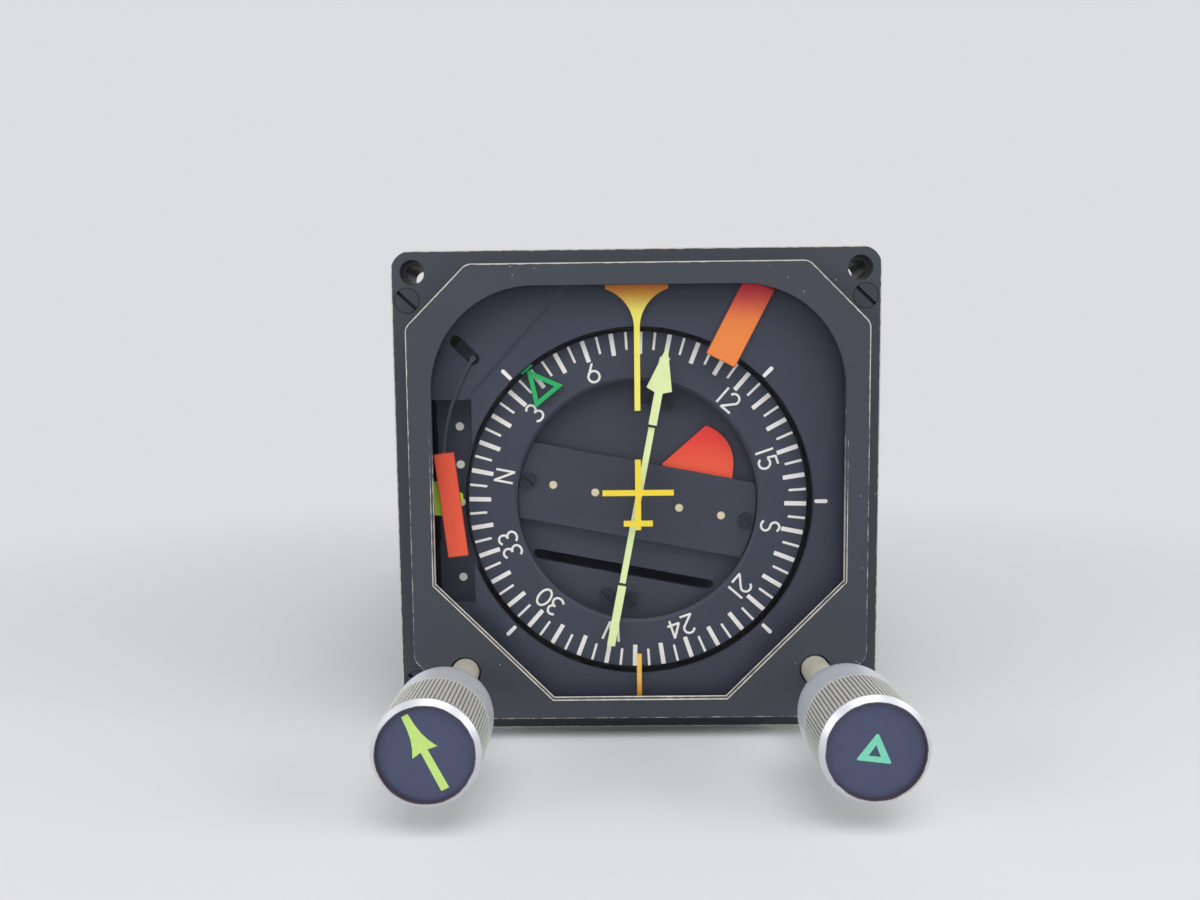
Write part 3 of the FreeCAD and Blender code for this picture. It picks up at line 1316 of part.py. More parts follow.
# NAV flag on a pin through the dial's floor, and its meter behind it
nav_flag = plate("nav_flag", NAV_FRONT, "nav_thick", [
    ("nav_pivot_right - nav_reach", "nav_tip_up"),
    ("nav_pivot_right - nav_reach + nav_heel", "nav_tip_up - nav_heel_drop"),
    ("nav_pivot_right - nav_neck", "nav_neck_up"),
    ("nav_pivot_right - nav_tail_half", "-nav_pivot_down"),
    ("nav_pivot_right + nav_tail_half", "-nav_pivot_down"),
    ("nav_pivot_right", "nav_shoulder_up", "nav_shoulder"),
    ("nav_pivot_right - nav_top_left", "nav_top_up"),
])
NAV_METER_BACK = "(%s + nav_meter_length)" % FACE_BACK
add_plate(nav_flag, NAV_BACK, "%s - %s" % (NAV_METER_BACK, NAV_BACK),
          ("nav_pivot_right", "-nav_pivot_down", "flag_pin"))
keep(on_rotor(nav_flag))
keep(on_rotor(plate("nav_flag_meter", FACE_BACK, "nav_meter_length",
                    ("nav_pivot_right", "-nav_pivot_down", "nav_meter"),
                    ("nav_pivot_right", "-nav_pivot_down", "flag_pin + running"))))

# Rear end of the rotor with its slip rings
ring_points = [("slip_ring_radius", SLIP_FRONT)]
RING_PITCH = "slip_ring_length / slip_ring_count"
for step in range(1, int(number("sizes.slip_ring_count"))):
    near = "%s + %d * %s - slip_ring_groove / 2" % (SLIP_FRONT, step, RING_PITCH)
    far = near + " + slip_ring_groove"
    low_radius = "slip_ring_radius - slip_ring_groove"
    ring_points += [
        ("slip_ring_radius", near),
        (low_radius, near),
        (low_radius, far),
        ("slip_ring_radius", far),
    ]
SHAFT_BACK = "(%s - gear_gap)" % RESOLVER_BACK
keep(place(turned("rotor_shaft", [
    ("0", DRUM_BACK),
    ("rotor_radius", DRUM_BACK),
    ("rotor_radius", ROTOR_END_BACK),
    ("rotor_shaft", ROTOR_END_BACK),
    ("rotor_shaft", SLIP_FRONT),
    *ring_points,
    ("slip_ring_radius", SLIP_BACK),
    ("rotor_shaft", SLIP_BACK),
    ("rotor_shaft", "%s - resolver_cap" % SHAFT_BACK),
    ("0", "%s - resolver_cap" % SHAFT_BACK),
]), z=DIAL_Z))

# Glideslope pointer on its arm, with a coil that turns on a crosswise staff
GLIDE_Z = "(%s + glide_pointer_above_dial)" % DIAL_Z
POINTER_FRONT = "(%s + glide_pointer_drop)" % MASK_FRONT
POINTER_BACK = "(%s + glide_pointer_thick)" % POINTER_FRONT
pointer = plate("glide_pointer_vane", POINTER_FRONT, "glide_pointer_thick", [
    ("-glide_arm_x - glide_pointer_heel", "-glide_pointer_half"),
    ("-glide_arm_x + glide_pointer_block", "-glide_pointer_half"),
    ("-glide_pointer_reach", "-glide_pointer_tip"),
    ("-glide_pointer_reach", "glide_pointer_tip"),
    ("-glide_arm_x + glide_pointer_block", "glide_pointer_half"),
    ("-glide_arm_x - glide_pointer_heel", "glide_pointer_half"),
])
add_plate(pointer, POINTER_BACK, "%s - %s" % (METER_AXIS, POINTER_BACK),
          ("-glide_arm_x", "0", "glide_arm"))
place(pointer, z=GLIDE_Z)
GLIDE_COIL = "(-glide_arm_x + meter_step)"
GLIDE_STAFF = "(-glide_arm_x - meter_step)"
GLIDE_STAFF_END = "(%s + glide_coil_length + meter_step)" % GLIDE_COIL
keep(fuse("glideslope_pointer", pointer,
          cylinder("glide_winding", "glide_coil", "glide_coil_length",
                   GLIDE_COIL, METER_AXIS, GLIDE_Z, RIGHT),
          cylinder("glide_staff", "staff_radius", "%s - %s" % (GLIDE_STAFF_END, GLIDE_STAFF),
                   GLIDE_STAFF, METER_AXIS, GLIDE_Z, RIGHT)))
GLIDE_BASE = "(%s - magnet_base)" % MIDDLE_PLATE_FRONT
GLIDE_LOW = "(%s - glide_coil)" % GLIDE_Z
GLIDE_HIGH = "(%s + glide_coil)" % GLIDE_Z
LEG_TOP = "%s + meter_leg" % GLIDE_Z
LEG_BOTTOM = "%s - meter_leg" % GLIDE_Z
glide_frame = fuse(
    "glide_frame",
    box("glide_base", "%s - meter_leg / 2" % GLIDE_STAFF, "%s + meter_leg / 2" % GLIDE_STAFF_END,
        GLIDE_BASE, MIDDLE_PLATE_FRONT, GLIDE_LOW, GLIDE_HIGH),
    box("glide_magnet", GLIDE_COIL, "%s + glide_coil_length" % GLIDE_COIL,
        "%s + glide_coil + magnet_gap" % METER_AXIS, GLIDE_BASE, GLIDE_LOW, GLIDE_HIGH),
    box("glide_leg_left", "%s - meter_leg / 2" % GLIDE_STAFF, "%s + meter_leg / 2" % GLIDE_STAFF,
        "%s - meter_leg" % METER_AXIS, GLIDE_BASE, LEG_BOTTOM, LEG_TOP),
    box("glide_leg_right", "%s - meter_leg / 2" % GLIDE_STAFF_END, "%s + meter_leg / 2" % GLIDE_STAFF_END,
        "%s - meter_leg" % METER_AXIS, GLIDE_BASE, LEG_BOTTOM, LEG_TOP))
glide_bore = cylinder("glide_bore", "staff_radius + running", "%s - %s" % (GLIDE_STAFF_END, GLIDE_STAFF),
                      GLIDE_STAFF, METER_AXIS, GLIDE_Z, RIGHT)
keep(subtract("glideslope_meter", glide_frame, glide_bore))

# Inner frame: three plates on four posts
POSTS = [(a + "post_x", b + "post_z") for a, b in CORNERS]
SPINDLES = [("-" + PINION_X, PINION_Z), (PINION_X, PINION_Z)]
INNER_OUTLINE = "(case_wall + inner_gap)"
ARM_SIDE = "(-glide_arm_x + glide_arm + inner_gap)"


def arm_notch(front):
    """The cut at the left edge that the glideslope arm swings in, drawn for its own depth."""
    sweep = "((%s - %s) * tan(glide_swing * 1deg) + 2 * glide_arm)" % (METER_AXIS, front)
    return rectangle("-case_side / 2", ARM_SIDE, "%s - %s" % (GLIDE_Z, sweep), "%s + %s" % (GLIDE_Z, sweep))


front_plate = plate("front_plate", FRONT_PLATE_FRONT, "inner_plate_thick", case_outline(INNER_OUTLINE))
cut_plate(front_plate, FRONT_PLATE_FRONT, "inner_plate_thick",
          ("0", DIAL_Z, "bearing_outer"), ("0", SERVO_Z, "motor_shaft + fit_gap"),
          *round_holes(SHAFTS, "shaft_radius + fit_gap"),
          *round_holes(SPINDLES, "%s + running" % INPUT_OUTER),
          *round_holes(POSTS, "post_radius"))
cut_plate(front_plate, FRONT_PLATE_FRONT, "inner_plate_thick", arm_notch(FRONT_PLATE_FRONT))
keep(front_plate)
gear_plate = plate("gear_plate", GEAR_PLATE_FRONT, "gear_plate_thick", case_outline(INNER_OUTLINE))
cut_plate(gear_plate, GEAR_PLATE_FRONT, "gear_plate_thick",
          ("0", DIAL_Z, "rotor_radius + gear_gap"), ("0", SERVO_Z, "motor_radius + fit_gap"),
          *round_holes(SHAFTS, "shaft_radius + running"),
          *round_holes(SPINDLES, "spindle_radius"),
          *round_holes(POSTS, "post_radius"))
cut_plate(gear_plate, GEAR_PLATE_FRONT, "gear_plate_thick", arm_notch(GEAR_PLATE_FRONT))
keep(gear_plate)
keep(plate("middle_plate", MIDDLE_PLATE_FRONT, "inner_plate_thick", case_outline(INNER_OUTLINE),
           ("0", DIAL_Z, "rotor_shaft + running"), *round_holes(POSTS, "post_radius")))
THREAD_FRONT = "(case_end - cover_screw_length)"
frame_post = turned("frame_post", [
    ("0", MASK_BACK),
    ("post_radius", MASK_BACK),
    ("post_radius", "case_end"),
    ("cover_screw_shank", "case_end"),
    ("cover_screw_shank", THREAD_FRONT),
    ("0", THREAD_FRONT),
])
copies("frame_posts", frame_post, POSTS)

# Brush block: two walls on the middle plate, with brushes on the rings and a seat for the resolver
WALL_IN = "(slip_ring_radius + block_wall)"
WALL_OUT = "(%s + block_wall)" % WALL_IN
BLOCK_LOW = "(%s - block_half)" % DIAL_Z
BLOCK_HIGH = "(%s + block_half)" % DIAL_Z
block_pieces = [
    box("brush_wall_left", "-" + WALL_OUT, "-" + WALL_IN, MIDDLE_PLATE_BACK, RESOLVER_PLATE_FRONT,
        BLOCK_LOW, BLOCK_HIGH),
    box("brush_wall_right", WALL_IN, WALL_OUT, MIDDLE_PLATE_BACK, RESOLVER_PLATE_FRONT,
        BLOCK_LOW, BLOCK_HIGH),
    place(plate("resolver_seat", RESOLVER_PLATE_FRONT, "inner_plate_thick", square("block_half"),
                ("0", "0", "rotor_shaft + fit_gap")), z=DIAL_Z),
]
for step in range(int(number("sizes.slip_ring_count"))):
    brush_y = "(%s + %.1f * %s)" % (SLIP_FRONT, step + 0.5, RING_PITCH)
    block_pieces.append(box("brush", "slip_ring_radius + running", WALL_IN,
                            "%s - brush / 2" % brush_y, "%s + brush / 2" % brush_y,
                            "%s - brush / 2" % DIAL_Z, "%s + brush / 2" % DIAL_Z))
keep(fuse("brush_block", *block_pieces))
keep(place(turned("course_resolver", [
    ("rotor_shaft + fit_gap", RESOLVER_PLATE_BACK),
    ("resolver_radius", RESOLVER_PLATE_BACK),
    ("resolver_radius", RESOLVER_BACK),
    ("0", RESOLVER_BACK),
    ("0", "%s - resolver_cap" % RESOLVER_BACK),
    ("rotor_shaft + fit_gap", "%s - resolver_cap" % RESOLVER_BACK),
]), z=DIAL_Z))

# Case: a folded sheet shell with its flange, the rear cover and the connector
shell = plate("case_shell", "flange_thick", "case_flange",
              square("flange_side / 2"), case_outline("case_wall"))
add_plate(shell, CASE_FLANGE_BACK, "case_end - %s" % CASE_FLANGE_BACK,
          case_outline("0"), case_outline("case_wall"))
flange_middle = number(named("flange_thick + case_flange / 2"))
round_edges(shell, "flange_corner",
            [Vector(a * corner, flange_middle, b * corner) for a in (-1, 1) for b in (-1, 1)])
cut_plate(shell, "flange_thick", "case_flange",
          *round_holes(MOUNTS, "mount_hole + insert_wall"),
          *round_holes(SCREWS, "bezel_screw_shank"))
keep(shell)
CONNECTOR_BODY = "(connector_radius - connector_wall)"
CONNECTOR_SCREWS = [(a + "connector_screw", b + "connector_screw") for a, b in CORNERS]
keep(plate("rear_cover", "case_end", "cover_thick", case_outline("0"),
           ("0", "0", CONNECTOR_BODY), *round_holes(POSTS + CONNECTOR_SCREWS, "cover_screw_shank")))
FLANGE_BACK = "(%s + connector_flange_thick)" % COVER_BACK
cover_screw = turned("cover_screw", [
    ("0", "-cover_screw_length - cover_thick"),
    ("cover_screw_shank", "-cover_screw_length - cover_thick"),
    ("cover_screw_shank", "0"),
    ("cover_screw_head", "0"),
    ("cover_screw_head", "cover_screw_head_thick"),
    ("0", "cover_screw_head_thick"),
])
cut_plate(cover_screw, "cover_screw_head_thick / 2", "cover_screw_head_thick",
          rectangle("-cover_screw_head", "cover_screw_head",
                    "-cover_screw_head * 0.14", "cover_screw_head * 0.14"))
screw_links = []
for spots, seat in ((POSTS, COVER_BACK), (CONNECTOR_SCREWS, FLANGE_BACK)):
    for x, z in spots:
        link = doc.addObject("App::Link", "cover_screw_copy")
        link.LinkedObject = cover_screw
        screw_links.append(place(link, x, z, "20", seat))
keep(group("cover_screws", screw_links))
connector = plate("rear_connector", COVER_BACK, "connector_flange_thick", square("connector_flange / 2"))
cut_plate(connector, COVER_BACK, "connector_flange_thick",
          *round_holes(CONNECTOR_SCREWS, "cover_screw_shank"))
add_plate(connector, "case_end - connector_inside", "connector_inside + cover_thick",
          ("0", "0", CONNECTOR_BODY))
add_plate(connector, FLANGE_BACK, "connector_length", ("0", "0", "connector_radius"),
          ("0", "0", CONNECTOR_BODY))
PIN_CIRCLES = [("connector_radius * 0.3", 6), ("connector_radius * 0.65", 12)]
PINS = [("0", "0")]
for radius, count in PIN_CIRCLES:
    for step in range(count):
        turn = "%d * 360deg / %d" % (step, count)
        PINS.append(("%s * cos(%s)" % (radius, turn), "%s * sin(%s)" % (radius, turn)))
add_plate(connector, FLANGE_BACK, "pin_length", *round_holes(PINS, "pin_radius"))
keep(connector)

doc.recompute()
for item in doc.Objects:
    if "Invalid" in item.State or "Error" in item.State:
        raise RuntimeError("%s has the state %s" % (item.Label, item.State))
os.makedirs("parts", exist_ok=True)
for label, piece in nodes.items():
    shape = Part.getShape(piece)
    if shape.isNull() or not shape.isValid():
        raise RuntimeError("%s has no sound shape" % label)
    shape.exportStep("parts/%s.step" % label)
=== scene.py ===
import bmesh
import bpy
import math

from mathutils import Matrix, Vector


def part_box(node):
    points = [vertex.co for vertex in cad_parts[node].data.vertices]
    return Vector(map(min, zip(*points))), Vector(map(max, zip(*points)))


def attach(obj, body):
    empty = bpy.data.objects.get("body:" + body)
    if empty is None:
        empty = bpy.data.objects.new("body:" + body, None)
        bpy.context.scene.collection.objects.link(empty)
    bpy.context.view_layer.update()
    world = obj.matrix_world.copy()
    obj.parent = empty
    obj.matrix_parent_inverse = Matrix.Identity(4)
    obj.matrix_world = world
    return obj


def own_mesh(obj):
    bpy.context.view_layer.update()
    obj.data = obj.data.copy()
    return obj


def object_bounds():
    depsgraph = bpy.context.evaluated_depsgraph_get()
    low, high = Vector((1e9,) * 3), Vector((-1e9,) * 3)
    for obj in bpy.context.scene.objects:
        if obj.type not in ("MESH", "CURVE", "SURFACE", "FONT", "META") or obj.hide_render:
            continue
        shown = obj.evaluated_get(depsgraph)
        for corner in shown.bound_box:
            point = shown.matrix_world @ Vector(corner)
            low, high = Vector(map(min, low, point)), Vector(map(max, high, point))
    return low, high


# A panel indicator for aircraft navigation, dressed for its picture.
# Metres, X to the right, Y into the panel, Z up, and the origin in the flange's front face.

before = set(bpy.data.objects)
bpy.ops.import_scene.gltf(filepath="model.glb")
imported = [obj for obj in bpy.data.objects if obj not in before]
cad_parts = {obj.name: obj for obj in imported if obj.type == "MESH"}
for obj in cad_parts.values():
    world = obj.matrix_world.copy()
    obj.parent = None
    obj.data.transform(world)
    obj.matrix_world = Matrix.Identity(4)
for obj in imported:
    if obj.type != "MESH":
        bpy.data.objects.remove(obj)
cad_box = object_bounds()
mm = 0.001

# Camera, close in front of the glass and a little above the dial, as the photograph was taken.
# The frame of the picture is 1200 by 900, and the lens follows from the flange's known width.
camera_place = Vector((-5.54, -142.48, 18.62)) * mm
camera_yaw = math.radians(0.423)
camera_pitch = math.radians(-4.376)
camera_roll = math.radians(-0.629)
lens_data = bpy.data.cameras.new("camera")
lens_data.sensor_width = 36
lens_data.lens = 24.12
lens_data.clip_start = 0.005
camera = bpy.data.objects.new("camera", lens_data)
bpy.context.collection.objects.link(camera)
camera.matrix_world = (
    Matrix.Translation(camera_place)
    @ Matrix.Rotation(camera_yaw, 4, "Z")
    @ Matrix.Rotation(math.pi / 2 + camera_pitch, 4, "X")
    @ Matrix.Rotation(camera_roll, 4, "Z")
)
bpy.context.scene.camera = camera

# Studio: a pale floor that the flange's lower edge stands on, and a pale wall far behind it.
# Three large soft lamps, so that the dark paint keeps its edges and the knobs their highlights.
# The floor is matt backdrop paper, which fades into the wall away from the object.
floor_half = 3
floor_gap = 0.02 * mm
paper_whole = 0.1
paper_gone = 0.34
room_light = 0.5
wall_light = 0.92


def linear(hex_colour):
    """An sRGB hex colour as the linear values that Blender takes."""
    parts = [int(hex_colour[i:i + 2], 16) / 255 for i in (0, 2, 4)]
    return tuple(p / 12.92 if p <= 0.04045 else ((p + 0.055) / 1.055) ** 2.4 for p in parts) + (1,)


def add_node(tree, kind, settings=None, **inputs):
    """Adds a node. Each input is a value or the socket that feeds it, named Like_This or by _number."""
    made = tree.nodes.new(kind)
    for name, value in (settings or {}).items():
        setattr(made, name, value)
    for name, value in inputs.items():
        key = int(name[1:]) if name[1:].isdigit() else name.replace("_", " ")
        if isinstance(value, bpy.types.NodeSocket):
            tree.links.new(value, made.inputs[key])
        else:
            made.inputs[key].default_value = value
    return made


def new_material(name):
    """An empty material with its tree, its Principled shader and its Object coordinates."""
    material = bpy.data.materials.new(name)
    material.use_nodes = True
    tree = material.node_tree
    shader = tree.nodes["Principled BSDF"]
    where = tree.nodes.new("ShaderNodeTexCoord").outputs["Object"]
    return material, tree, shader, where


floor_mesh = bmesh.new()
bmesh.ops.create_grid(floor_mesh, x_segments=1, y_segments=1, size=floor_half)
floor_data = bpy.data.meshes.new("floor")
floor_mesh.to_mesh(floor_data)
floor_mesh.free()
floor = bpy.data.objects.new("floor", floor_data)
floor.location = (0, 0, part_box("bezel")[0].z - floor_gap)
bpy.context.collection.objects.link(floor)
floor_paper, tree, shader, where = new_material("matt_backdrop_paper")
shader.inputs["Base Color"].default_value = linear("E6E7E8")
shader.inputs["Roughness"].default_value = 0.9
far = add_node(tree, "ShaderNodeVectorMath", {"operation": "LENGTH"}, _0=where)
near_share = add_node(tree, "ShaderNodeMapRange", {"interpolation_type": "SMOOTHSTEP"},
                      Value=far.outputs["Value"], From_Min=paper_whole, From_Max=paper_gone,
                      To_Min=1.0, To_Max=0.0)
gone = add_node(tree, "ShaderNodeBsdfTransparent")
fading = add_node(tree, "ShaderNodeMixShader", _0=near_share.outputs["Result"],
                  _1=gone.outputs["BSDF"], _2=shader.outputs["BSDF"])
tree.links.new(fading.outputs["Shader"], tree.nodes["Material Output"].inputs["Surface"])
floor_data.materials.append(floor_paper)

world = bpy.data.worlds.new("studio")
bpy.context.scene.world = world
world.use_nodes = True
world_tree = world.node_tree
background = world_tree.nodes["Background"]
background.inputs["Color"].default_value = linear("E4E6E9")
light_path = world_tree.nodes.new("ShaderNodeLightPath")
mirrored = add_node(world_tree, "ShaderNodeMath", {"operation": "MAXIMUM"},
                    _0=light_path.outputs["Is Glossy Ray"],
                    _1=light_path.outputs["Is Transmission Ray"])
seen = add_node(world_tree, "ShaderNodeMath", {"operation": "MAXIMUM"},
                _0=light_path.outputs["Is Camera Ray"], _1=mirrored.outputs[0])
level = add_node(world_tree, "ShaderNodeMapRange", Value=seen.outputs[0],
                 To_Min=room_light, To_Max=wall_light)
world_tree.links.new(level.outputs["Result"], background.inputs["Strength"])


def soft_lamp(name, place, size, power):
    """A rectangular lamp that points at the origin."""
    lamp_data = bpy.data.lights.new(name, "AREA")
    lamp_data.shape = "RECTANGLE"
    lamp_data.size, lamp_data.size_y = size
    lamp_data.energy = power
    lamp = bpy.data.objects.new(name, lamp_data)
    lamp.location = place
    lamp.rotation_euler = (-Vector(place)).to_track_quat("-Z", "Y").to_euler()
    bpy.context.collection.objects.link(lamp)


soft_lamp("key_lamp", place=(0.05, -0.45, 0.75), size=(0.7, 0.5), power=3.9)
soft_lamp("left_lamp", place=(-0.8, -0.5, 0.25), size=(0.5, 0.5), power=3.0)
soft_lamp("right_lamp", place=(0.8, -0.35, 0.35), size=(0.5, 0.5), power=2.6)
bpy.context.scene.view_settings.view_transform = "Standard"

# Bezel: an aluminium casting with a black enamel sprayed over it, matt and finely grained.
# The enamel has rubbed off along the front edges of the raised frame and round the opening,
# with painted highlight that makes these edges brighter towards the frame's top and the opening's
# bottom, and light dust lies on its faces.
frame_half = 39.25 * mm
frame_middle_z = 0.45 * mm
frame_chamfer = 10.5 * mm
frame_bend = 0.9 * mm
frame_front = -5.6 * mm
front_depth = 0.3 * mm
opening_half = 35.2 * mm
opening_bottom = 35.1 * mm
opening_cut = 20.2 * mm
opening_bend = 0.05 * mm
opening_bevel = 0.45 * mm
arc_start = 15.5 * mm
arc_fade = 2.0 * mm
outer_wear = 0.4 * mm
inner_wear = 0.22 * mm
bevel_wear = 0.18 * mm
flange_wear = 0.45 * mm
flange_front_from = 0.5 * mm
flange_front_to = 0.1 * mm
top_lit_height = 34 * mm
low_lit_from = -14 * mm
low_lit_to = 17 * mm
ragged_size = 1.7 * mm
flange_half = cad_box[1].x


def outline_distance(tree, across, up, half_wide, half_high, cut, round_off):
    """How far a point lies outside an outline with 45 degree corners, as a node socket."""
    side = add_node(tree, "ShaderNodeMath", {"operation": "SUBTRACT"}, _0=across, _1=half_wide)
    top = add_node(tree, "ShaderNodeMath", {"operation": "SUBTRACT"}, _0=up, _1=half_high)
    both = add_node(tree, "ShaderNodeMath", {"operation": "ADD"}, _0=across, _1=up)
    slant = add_node(tree, "ShaderNodeMath", {"operation": "SUBTRACT"}, _0=both.outputs[0],
                     _1=half_wide + half_high - cut)
    flat = add_node(tree, "ShaderNodeMath", {"operation": "MULTIPLY"}, _0=slant.outputs[0],
                    _1=math.sqrt(0.5))
    pair = add_node(tree, "ShaderNodeMath", {"operation": "MAXIMUM"}, _0=side.outputs[0],
                    _1=top.outputs[0])
    return add_node(tree, "ShaderNodeMath", {"operation": "SMOOTH_MAX"},
                    _0=pair.outputs[0], _1=flat.outputs[0], _2=round_off).outputs[0]


def enamel(name, colour, grain, dust, relief=0.16):
    """Sprayed enamel: an even grain, a little colour drift and scattered pale dust.

    The real grain is finer than the picture can show, and is drawn coarser.
    """
    drift_size = 14 * mm
    dust_gap = 2.6 * mm
    material, tree, shader, where = new_material(name)
    drift = add_node(tree, "ShaderNodeTexNoise", Vector=where, Scale=1 / drift_size, Detail=3.0)
    tone = add_node(tree, "ShaderNodeMapRange", Value=drift.outputs["Fac"], To_Min=0.86, To_Max=1.14)
    base = add_node(tree, "ShaderNodeMix", {"data_type": "RGBA", "blend_type": "MULTIPLY"},
                    _0=1.0, _6=linear(colour), _7=tone.outputs["Result"])
    specks = add_node(tree, "ShaderNodeTexVoronoi", {"feature": "F1"}, Vector=where,
                      Scale=1 / dust_gap)
    chosen = add_node(tree, "ShaderNodeMapRange", Value=specks.outputs["Color"],
                      From_Min=0.62, From_Max=0.64)
    near = add_node(tree, "ShaderNodeMapRange", Value=specks.outputs["Distance"],
                    From_Min=0.03, From_Max=0.055, To_Min=dust, To_Max=0.0)
    speck = add_node(tree, "ShaderNodeMath", {"operation": "MULTIPLY"},
                     _0=near.outputs["Result"], _1=chosen.outputs["Result"])
    dusty = add_node(tree, "ShaderNodeMix", {"data_type": "RGBA"},
                     _0=speck.outputs[0], _6=base.outputs[2], _7=linear("A9AAA6"))
    tree.links.new(dusty.outputs[2], shader.inputs["Base Color"])
    shader.inputs["Specular IOR Level"].default_value = 0.3
    shine = add_node(tree, "ShaderNodeMapRange", Value=drift.outputs["Fac"], To_Min=0.46, To_Max=0.62)
    tree.links.new(shine.outputs["Result"], shader.inputs["Roughness"])
    fine = add_node(tree, "ShaderNodeTexNoise", Vector=where, Scale=1 / grain, Detail=4.0)
    bump = add_node(tree, "ShaderNodeBump", Strength=relief, Distance=0.03 * mm,
                    Height=fine.outputs["Fac"])
    tree.links.new(bump.outputs["Normal"], shader.inputs["Normal"])
    return material, tree, shader, where, dusty


bezel_enamel, tree, shader, where, painted = enamel("matt_black_enamel", "3F434B",
                                                    grain=0.35 * mm, dust=0.9)
spot = add_node(tree, "ShaderNodeSeparateXYZ", Vector=where)
across = add_node(tree, "ShaderNodeMath", {"operation": "ABSOLUTE"}, _0=spot.outputs["X"]).outputs[0]
upright = add_node(tree, "ShaderNodeMath", {"operation": "ABSOLUTE"}, _0=spot.outputs["Z"])
lifted = add_node(tree, "ShaderNodeMath", {"operation": "SUBTRACT"}, _0=spot.outputs["Z"],
                  _1=frame_middle_z)
height = add_node(tree, "ShaderNodeMath", {"operation": "ABSOLUTE"}, _0=lifted.outputs[0])
below = add_node(tree, "ShaderNodeMath", {"operation": "MULTIPLY"}, _0=spot.outputs["Z"], _1=-1.0)
outer = outline_distance(tree, across, height.outputs[0], frame_half, frame_half, frame_chamfer,
                         frame_bend)
inner = outline_distance(tree, across, below.outputs[0], opening_half, opening_bottom, opening_cut,
                         opening_bend)
bevel_line = add_node(tree, "ShaderNodeMath", {"operation": "SUBTRACT"}, _0=inner, _1=opening_bevel)
edges = []
for distance, reach in ((outer, outer_wear), (inner, inner_wear), (bevel_line.outputs[0], bevel_wear)):
    gap = add_node(tree, "ShaderNodeMath", {"operation": "ABSOLUTE"}, _0=distance)
    edges.append(add_node(tree, "ShaderNodeMapRange", Value=gap.outputs[0], From_Min=0.0,
                          From_Max=reach, To_Min=1.0, To_Max=0.0).outputs["Result"])
# Painted highlight: the worn edges are drawn stronger on the frame's upper outer edge and round
# the opening's lower part, which face the light from above. The wear under it is real.
top_lit_share = add_node(tree, "ShaderNodeMapRange", Value=spot.outputs["Z"],
                   From_Min=0.0, From_Max=top_lit_height, To_Min=0.62, To_Max=1.0)
outer_edge = add_node(tree, "ShaderNodeMath", {"operation": "MULTIPLY"},
                      _0=edges[0], _1=top_lit_share.outputs["Result"])
low_lit_share = add_node(tree, "ShaderNodeMapRange", Value=spot.outputs["Z"],
                     From_Min=low_lit_from, From_Max=low_lit_to, To_Min=1.0, To_Max=0.35)
below_arc = add_node(tree, "ShaderNodeMapRange", Value=spot.outputs["Z"], From_Min=arc_start,
                     From_Max=arc_start + arc_fade, To_Min=1.0, To_Max=0.0)
fading_up = add_node(tree, "ShaderNodeMath", {"operation": "MULTIPLY"},
                     _0=low_lit_share.outputs["Result"], _1=below_arc.outputs["Result"])
pair = add_node(tree, "ShaderNodeMath", {"operation": "MAXIMUM"}, _0=edges[1], _1=edges[2])
inner_edge = add_node(tree, "ShaderNodeMath", {"operation": "MULTIPLY"},
                      _0=pair.outputs[0], _1=fading_up.outputs[0])
edge = add_node(tree, "ShaderNodeMath", {"operation": "MAXIMUM"},
                _0=outer_edge.outputs[0], _1=inner_edge.outputs[0])
front_share = add_node(tree, "ShaderNodeMapRange", Value=spot.outputs["Y"],
                       From_Min=frame_front + front_depth, From_Max=frame_front)
raised = add_node(tree, "ShaderNodeMath", {"operation": "MULTIPLY"},
                  _0=edge.outputs[0], _1=front_share.outputs["Result"])
furthest = add_node(tree, "ShaderNodeMath", {"operation": "MAXIMUM"}, _0=across, _1=upright.outputs[0])
rim_wear = add_node(tree, "ShaderNodeMapRange", Value=furthest.outputs[0],
                    From_Min=flange_half - flange_wear, From_Max=flange_half, To_Max=0.9)
flange_face = add_node(tree, "ShaderNodeMapRange", Value=spot.outputs["Y"],
                       From_Min=flange_front_from, From_Max=flange_front_to)
flange_edge = add_node(tree, "ShaderNodeMath", {"operation": "MULTIPLY"},
                       _0=rim_wear.outputs["Result"], _1=flange_face.outputs["Result"])
shared = add_node(tree, "ShaderNodeMath", {"operation": "MAXIMUM"},
                  _0=raised.outputs[0], _1=flange_edge.outputs[0])
ragged = add_node(tree, "ShaderNodeTexNoise", Vector=where, Scale=1 / ragged_size, Detail=6.0,
                  Roughness=0.7)
rubbed_and_lit = add_node(tree, "ShaderNodeMath", {"operation": "ADD"},
                  _0=shared.outputs[0], _1=ragged.outputs["Fac"])
bare_and_lit = add_node(tree, "ShaderNodeMapRange", Value=rubbed_and_lit.outputs[0], From_Min=0.98, From_Max=1.15)
worn_and_lit = add_node(tree, "ShaderNodeMix", {"data_type": "RGBA"},
                _0=bare_and_lit.outputs["Result"], _6=painted.outputs[2], _7=linear("CFC9BC"))
tree.links.new(worn_and_lit.outputs[2], shader.inputs["Base Color"])
metal_share = add_node(tree, "ShaderNodeMapRange", Value=bare_and_lit.outputs["Result"], To_Max=0.35)
tree.links.new(metal_share.outputs["Result"], shader.inputs["Metallic"])


def give(material, *names):
    """Puts one material on CAD nodes, in place of the plain one that they came with."""
    for name in names:
        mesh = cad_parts[name].data
        mesh.materials.clear()
        mesh.materials.append(material)


give(bezel_enamel, "bezel")
